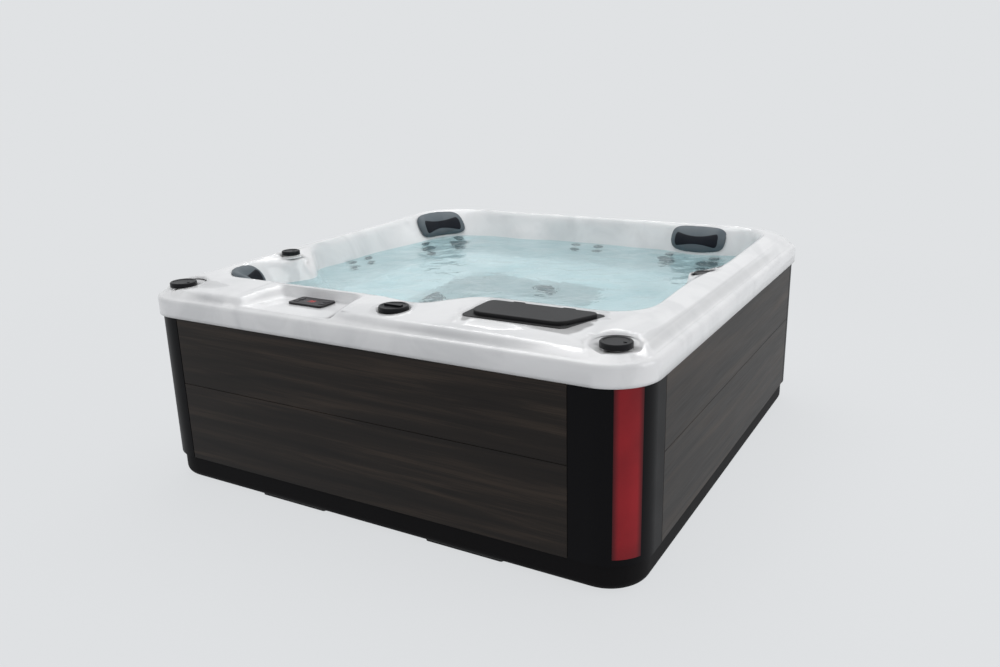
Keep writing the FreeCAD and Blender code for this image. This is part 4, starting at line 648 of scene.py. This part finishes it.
# %% Hourglass inserts
INSERT_SHARE = Vector((0.8, 0.64))
INSERT_WAIST = 0.5
END_BOW, SIDE_BOW = 0.12, 0.1
INSERT_CELLS = (40, 16)
INSERT_PROUD, INSERT_SUNK = 0.0016, -0.0016
RIM_START = 0.999
RAY_START = 0.2


def hourglass(column, row, reach, rise):
    """Place of a grid point, both given from -1 to 1, on the flat hourglass."""
    waist = INSERT_WAIST + (1 - INSERT_WAIST) * column ** 2
    return reach * column * (1 - END_BOW * row ** 4), rise * row * waist * (1 - SIDE_BOW * column ** 8)


def lay_insert(rest, pad):
    points = [vert.co for vert in pad.data.vertices]
    middle, along, front = pad_axes(points)
    skin = bmesh.new()
    skin.from_mesh(pad.data)
    tree = BVHTree.FromBMesh(skin)
    skin.free()
    spans = [(point - middle).dot(along) for point in points]
    reach = (max(spans) - min(spans)) / 2 * INSERT_SHARE.x
    heights = [point.z for point in points]
    rise = (max(heights) - min(heights)) / 2 * INSERT_SHARE.y
    mesh = bpy.data.meshes.new(f"insert_{rest}")
    bm = bmesh.new()
    bmesh.ops.create_grid(bm, x_segments=INSERT_CELLS[0], y_segments=INSERT_CELLS[1], size=1)
    for vert in bm.verts:
        edge = max(abs(vert.co.x), abs(vert.co.y))
        across, high = hourglass(vert.co.x, vert.co.y, reach, rise)
        lift = INSERT_SUNK if edge > RIM_START else INSERT_PROUD
        start = middle + along * across + Vector((0, 0, high)) + front * RAY_START
        hit, normal, _, _ = tree.ray_cast(start, -front)
        vert.co = hit + normal * lift
    bm.normal_update()
    bm.to_mesh(mesh)
    bm.free()
    mesh.shade_smooth()
    mesh.materials.append(FINISHES["insert_dark"])
    piece = new_piece(f"insert_{rest}", mesh)
    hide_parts(f"headrest_insert_{rest}")
    return piece


inserts = [lay_insert(rest, pad) for rest, pad in zip(RESTS, pads)]
print("inserts", [(piece.name, len(piece.data.polygons)) for piece in inserts])

# %% [markdown]
# ## Water
# The surface of the water bends the light that passes, so the seats below look raised, and a little of the
# light stays in it, milky and pale blue. A volume could do that, but it is slow; here the surface is not
# quite clear. Rays that only ask whether a lamp can be seen pass straight through, because bent light is
# slow to find the lamps.

# %% Water finish
CALM = dict(Scale=3.0, Detail=4.0, Distortion=0.8)
RIPPLE = dict(Scale=16.0, Detail=3.0, Distortion=1.2)
RIPPLE_SHARE = 0.3
WATER_STOPS = ((0.36, (0.42, 0.63, 0.67, 1)), (0.66, (0.6, 0.78, 0.81, 1)))
WATER_SHADER = dict(Roughness=0.03, IOR=1.33)
WATER_CLEAR, WATER_MILKY = 0.9, -0.2
WATER_RELIEF = dict(Strength=0.35, Distance=0.03)
WATER_SHADOW = (0.86, 0.96, 0.97, 1)


def water_finish():
    paint, tree, surface = start_material("water")
    place = tree.nodes.new("ShaderNodeTexCoord").outputs["Object"]
    calm = noise_node(tree, place, **CALM).outputs["Fac"]
    ripple = noise_node(tree, place, **RIPPLE).outputs["Fac"]
    tree.links.new(color_ramp(tree, calm, WATER_STOPS), surface.inputs["Base Color"])
    set_inputs(surface, **WATER_SHADER)
    tree.links.new(scaled(tree, calm, WATER_MILKY, WATER_CLEAR), surface.inputs["Transmission Weight"])
    add_relief(tree, surface, scaled(tree, ripple, RIPPLE_SHARE, calm), **WATER_RELIEF)
    clear = add_node(tree, "ShaderNodeBsdfTransparent", Color=WATER_SHADOW)
    rays = tree.nodes.new("ShaderNodeLightPath")
    mixed = mix_shaders(tree, rays.outputs["Is Shadow Ray"], surface.outputs[0], clear.outputs[0])
    tree.links.new(mixed, tree.nodes["Material Output"].inputs["Surface"])
    return paint


water_paint = water_finish()
print("water nodes", len(water_paint.node_tree.nodes))

# %% [markdown]
# ## Waves
# The water fills the tub to just below the headrests. A flat sheet cut to the basin would do for still
# water. Here spokes run out from the middle to the wall that a level ray meets, and rings between them make
# a sheet with points to move. Noise lifts them into waves, low in the middle and higher over the jets, and
# they calm down to a level line at the wall.

# %% Height of the waves
WATER_LEVEL = 0.673
MIDDLE = Vector((0, 0, WATER_LEVEL))
WAVE_SCALE, WAVE_OCTAVES = 13.0, 3.0
WAVE_FADE, WAVE_STEP = 1.0, 2.0
CALM_WAVE, JET_WAVE = 0.0022, 0.0055
JET_REACH = 0.17
SHORE = 0.05
STIRRED = [name for name in nodes if name.startswith("jet_face") and "footwell" not in name]
JETS = [sum(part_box(name), Vector()) / 2 for name in STIRRED]


def wave(point, shore):
    """Height of the water over its level, from the distance to the wall and to the jets."""
    away = [(point.x - jet.x) ** 2 + (point.y - jet.y) ** 2 for jet in JETS]
    stir = sum(math.exp(-square / JET_REACH ** 2) for square in away)
    rough = CALM_WAVE + JET_WAVE * min(stir, 1.0)
    swing = noise.fractal(point * WAVE_SCALE, WAVE_FADE, WAVE_STEP, WAVE_OCTAVES)
    return rough * min(shore / SHORE, 1.0) * swing


print("jets that stir the water", len(JETS))

# %% Water surface
WATER_SPOKES, WATER_RINGS = 360, 80
INTO_WALL = 0.002


def wall_tree():
    """Search tree of what bounds the water."""
    joined = bmesh.new()
    for node in ("acrylic_shell", "skimmer_grille"):
        joined.from_mesh(nodes[node].data)
    tree = BVHTree.FromBMesh(joined)
    joined.free()
    return tree


def water_reach(walls, away):
    """Length of a level ray to the wall, or to the grille where it slips between the grille's bars."""
    reach = (walls.ray_cast(MIDDLE, away)[0] - MIDDLE).length + INTO_WALL
    low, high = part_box("skimmer_grille")
    if away.y < 0:
        grille = (low.y + high.y) / 2 / away.y
        if grille < reach and low.x < away.x * grille < high.x:
            return grille
    return reach


def make_water():
    walls = wall_tree()
    mesh = bpy.data.meshes.new("water")
    bm = bmesh.new()
    spokes = []
    for step in range(WATER_SPOKES):
        turn = math.tau * step / WATER_SPOKES
        away = Vector((math.cos(turn), math.sin(turn), 0))
        reach = water_reach(walls, away)
        points = [MIDDLE + away * reach * ring / WATER_RINGS for ring in range(1, WATER_RINGS + 1)]
        heights = [wave(point, reach * (1 - ring / WATER_RINGS)) for ring, point in enumerate(points, 1)]
        spokes.append([bm.verts.new(point + Vector((0, 0, high))) for point, high in zip(points, heights)])
    centre = bm.verts.new(MIDDLE + Vector((0, 0, wave(MIDDLE, SHORE))))
    for one, two in zip(spokes, spokes[1:] + spokes[:1]):
        bm.faces.new((centre, one[0], two[0]))
        for ring in range(WATER_RINGS - 1):
            bm.faces.new((one[ring], one[ring + 1], two[ring + 1], two[ring]))
    bm.normal_update()
    bm.to_mesh(mesh)
    bm.free()
    mesh.shade_smooth()
    mesh.materials.append(water_paint)
    return new_piece("water", mesh)


water = make_water()
print("water", [tuple(round(c, 3) for c in corner) for corner in (water.bound_box[0], water.bound_box[6])])

# %% [markdown]
# ## Display digits
# The display shows a temperature in red. A text object would bring in a font; bars are closer to the real
# thing. Each digit has seven of them, and a row of ones and zeros says which are lit: top, upper right,
# lower right, bottom, lower left, upper left and middle.

# %% Digits
DIGITS = ("1111001", "1111111")
BARS = ((0.5, 2, 0), (1, 1.5, 1), (1, 0.5, 1), (0.5, 0, 0), (0, 0.5, 1), (0, 1.5, 1), (0.5, 1, 0))
BAR_LENGTH, BAR_WIDTH, BAR_HEIGHT = 0.85, 0.24, 0.0004
DIGIT_STEP, DIGIT_SHARE = 1.7, 0.27
DIGIT_FINISH = dict(color=(0.4, 0.02, 0.02), Emission_Color=(1, 0.06, 0.05, 1), Emission_Strength=0.3)


def show_digits():
    low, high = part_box("control_display")
    unit = (high.y - low.y) * DIGIT_SHARE
    left = (low.x + high.x) / 2 - unit * (DIGIT_STEP + 1) / 2
    corner = Vector((left, (low.y + high.y) / 2 - unit, high.z))
    mesh = bpy.data.meshes.new("display_digits")
    bm = bmesh.new()
    for place, bars in enumerate(DIGITS):
        for lit, (x, y, upright) in zip(bars, BARS):
            if lit == "1":
                size = (BAR_WIDTH, BAR_LENGTH) if upright else (BAR_LENGTH, BAR_WIDTH)
                spot = corner + Vector((x + place * DIGIT_STEP, y, 0)) * unit
                shape = Matrix.Diagonal((size[0] * unit, size[1] * unit, BAR_HEIGHT, 1))
                bmesh.ops.create_cube(bm, size=1, matrix=Matrix.Translation(spot) @ shape)
    bm.to_mesh(mesh)
    bm.free()
    mesh.materials.append(plastic("digit_red", **DIGIT_FINISH))
    digits = new_piece("display_digits", mesh)
    return digits


digits = show_digits()
print("digits", len(digits.data.polygons))

# %% [markdown]
# ## Finishes on the CAD parts
# Every other node keeps its CAD shape. The record names a finish for each one, and the boards take the grain
# that runs along their side.

# %% Dress the nodes
for row in frame["record"]["subparts"]:
    node = nodes[row["node"]]
    finish = board_finishes[BOARDS[row["node"]]] if row["node"] in BOARDS else FINISHES[row["material_slot"]]
    node.data.materials.clear()
    node.data.materials.append(finish)
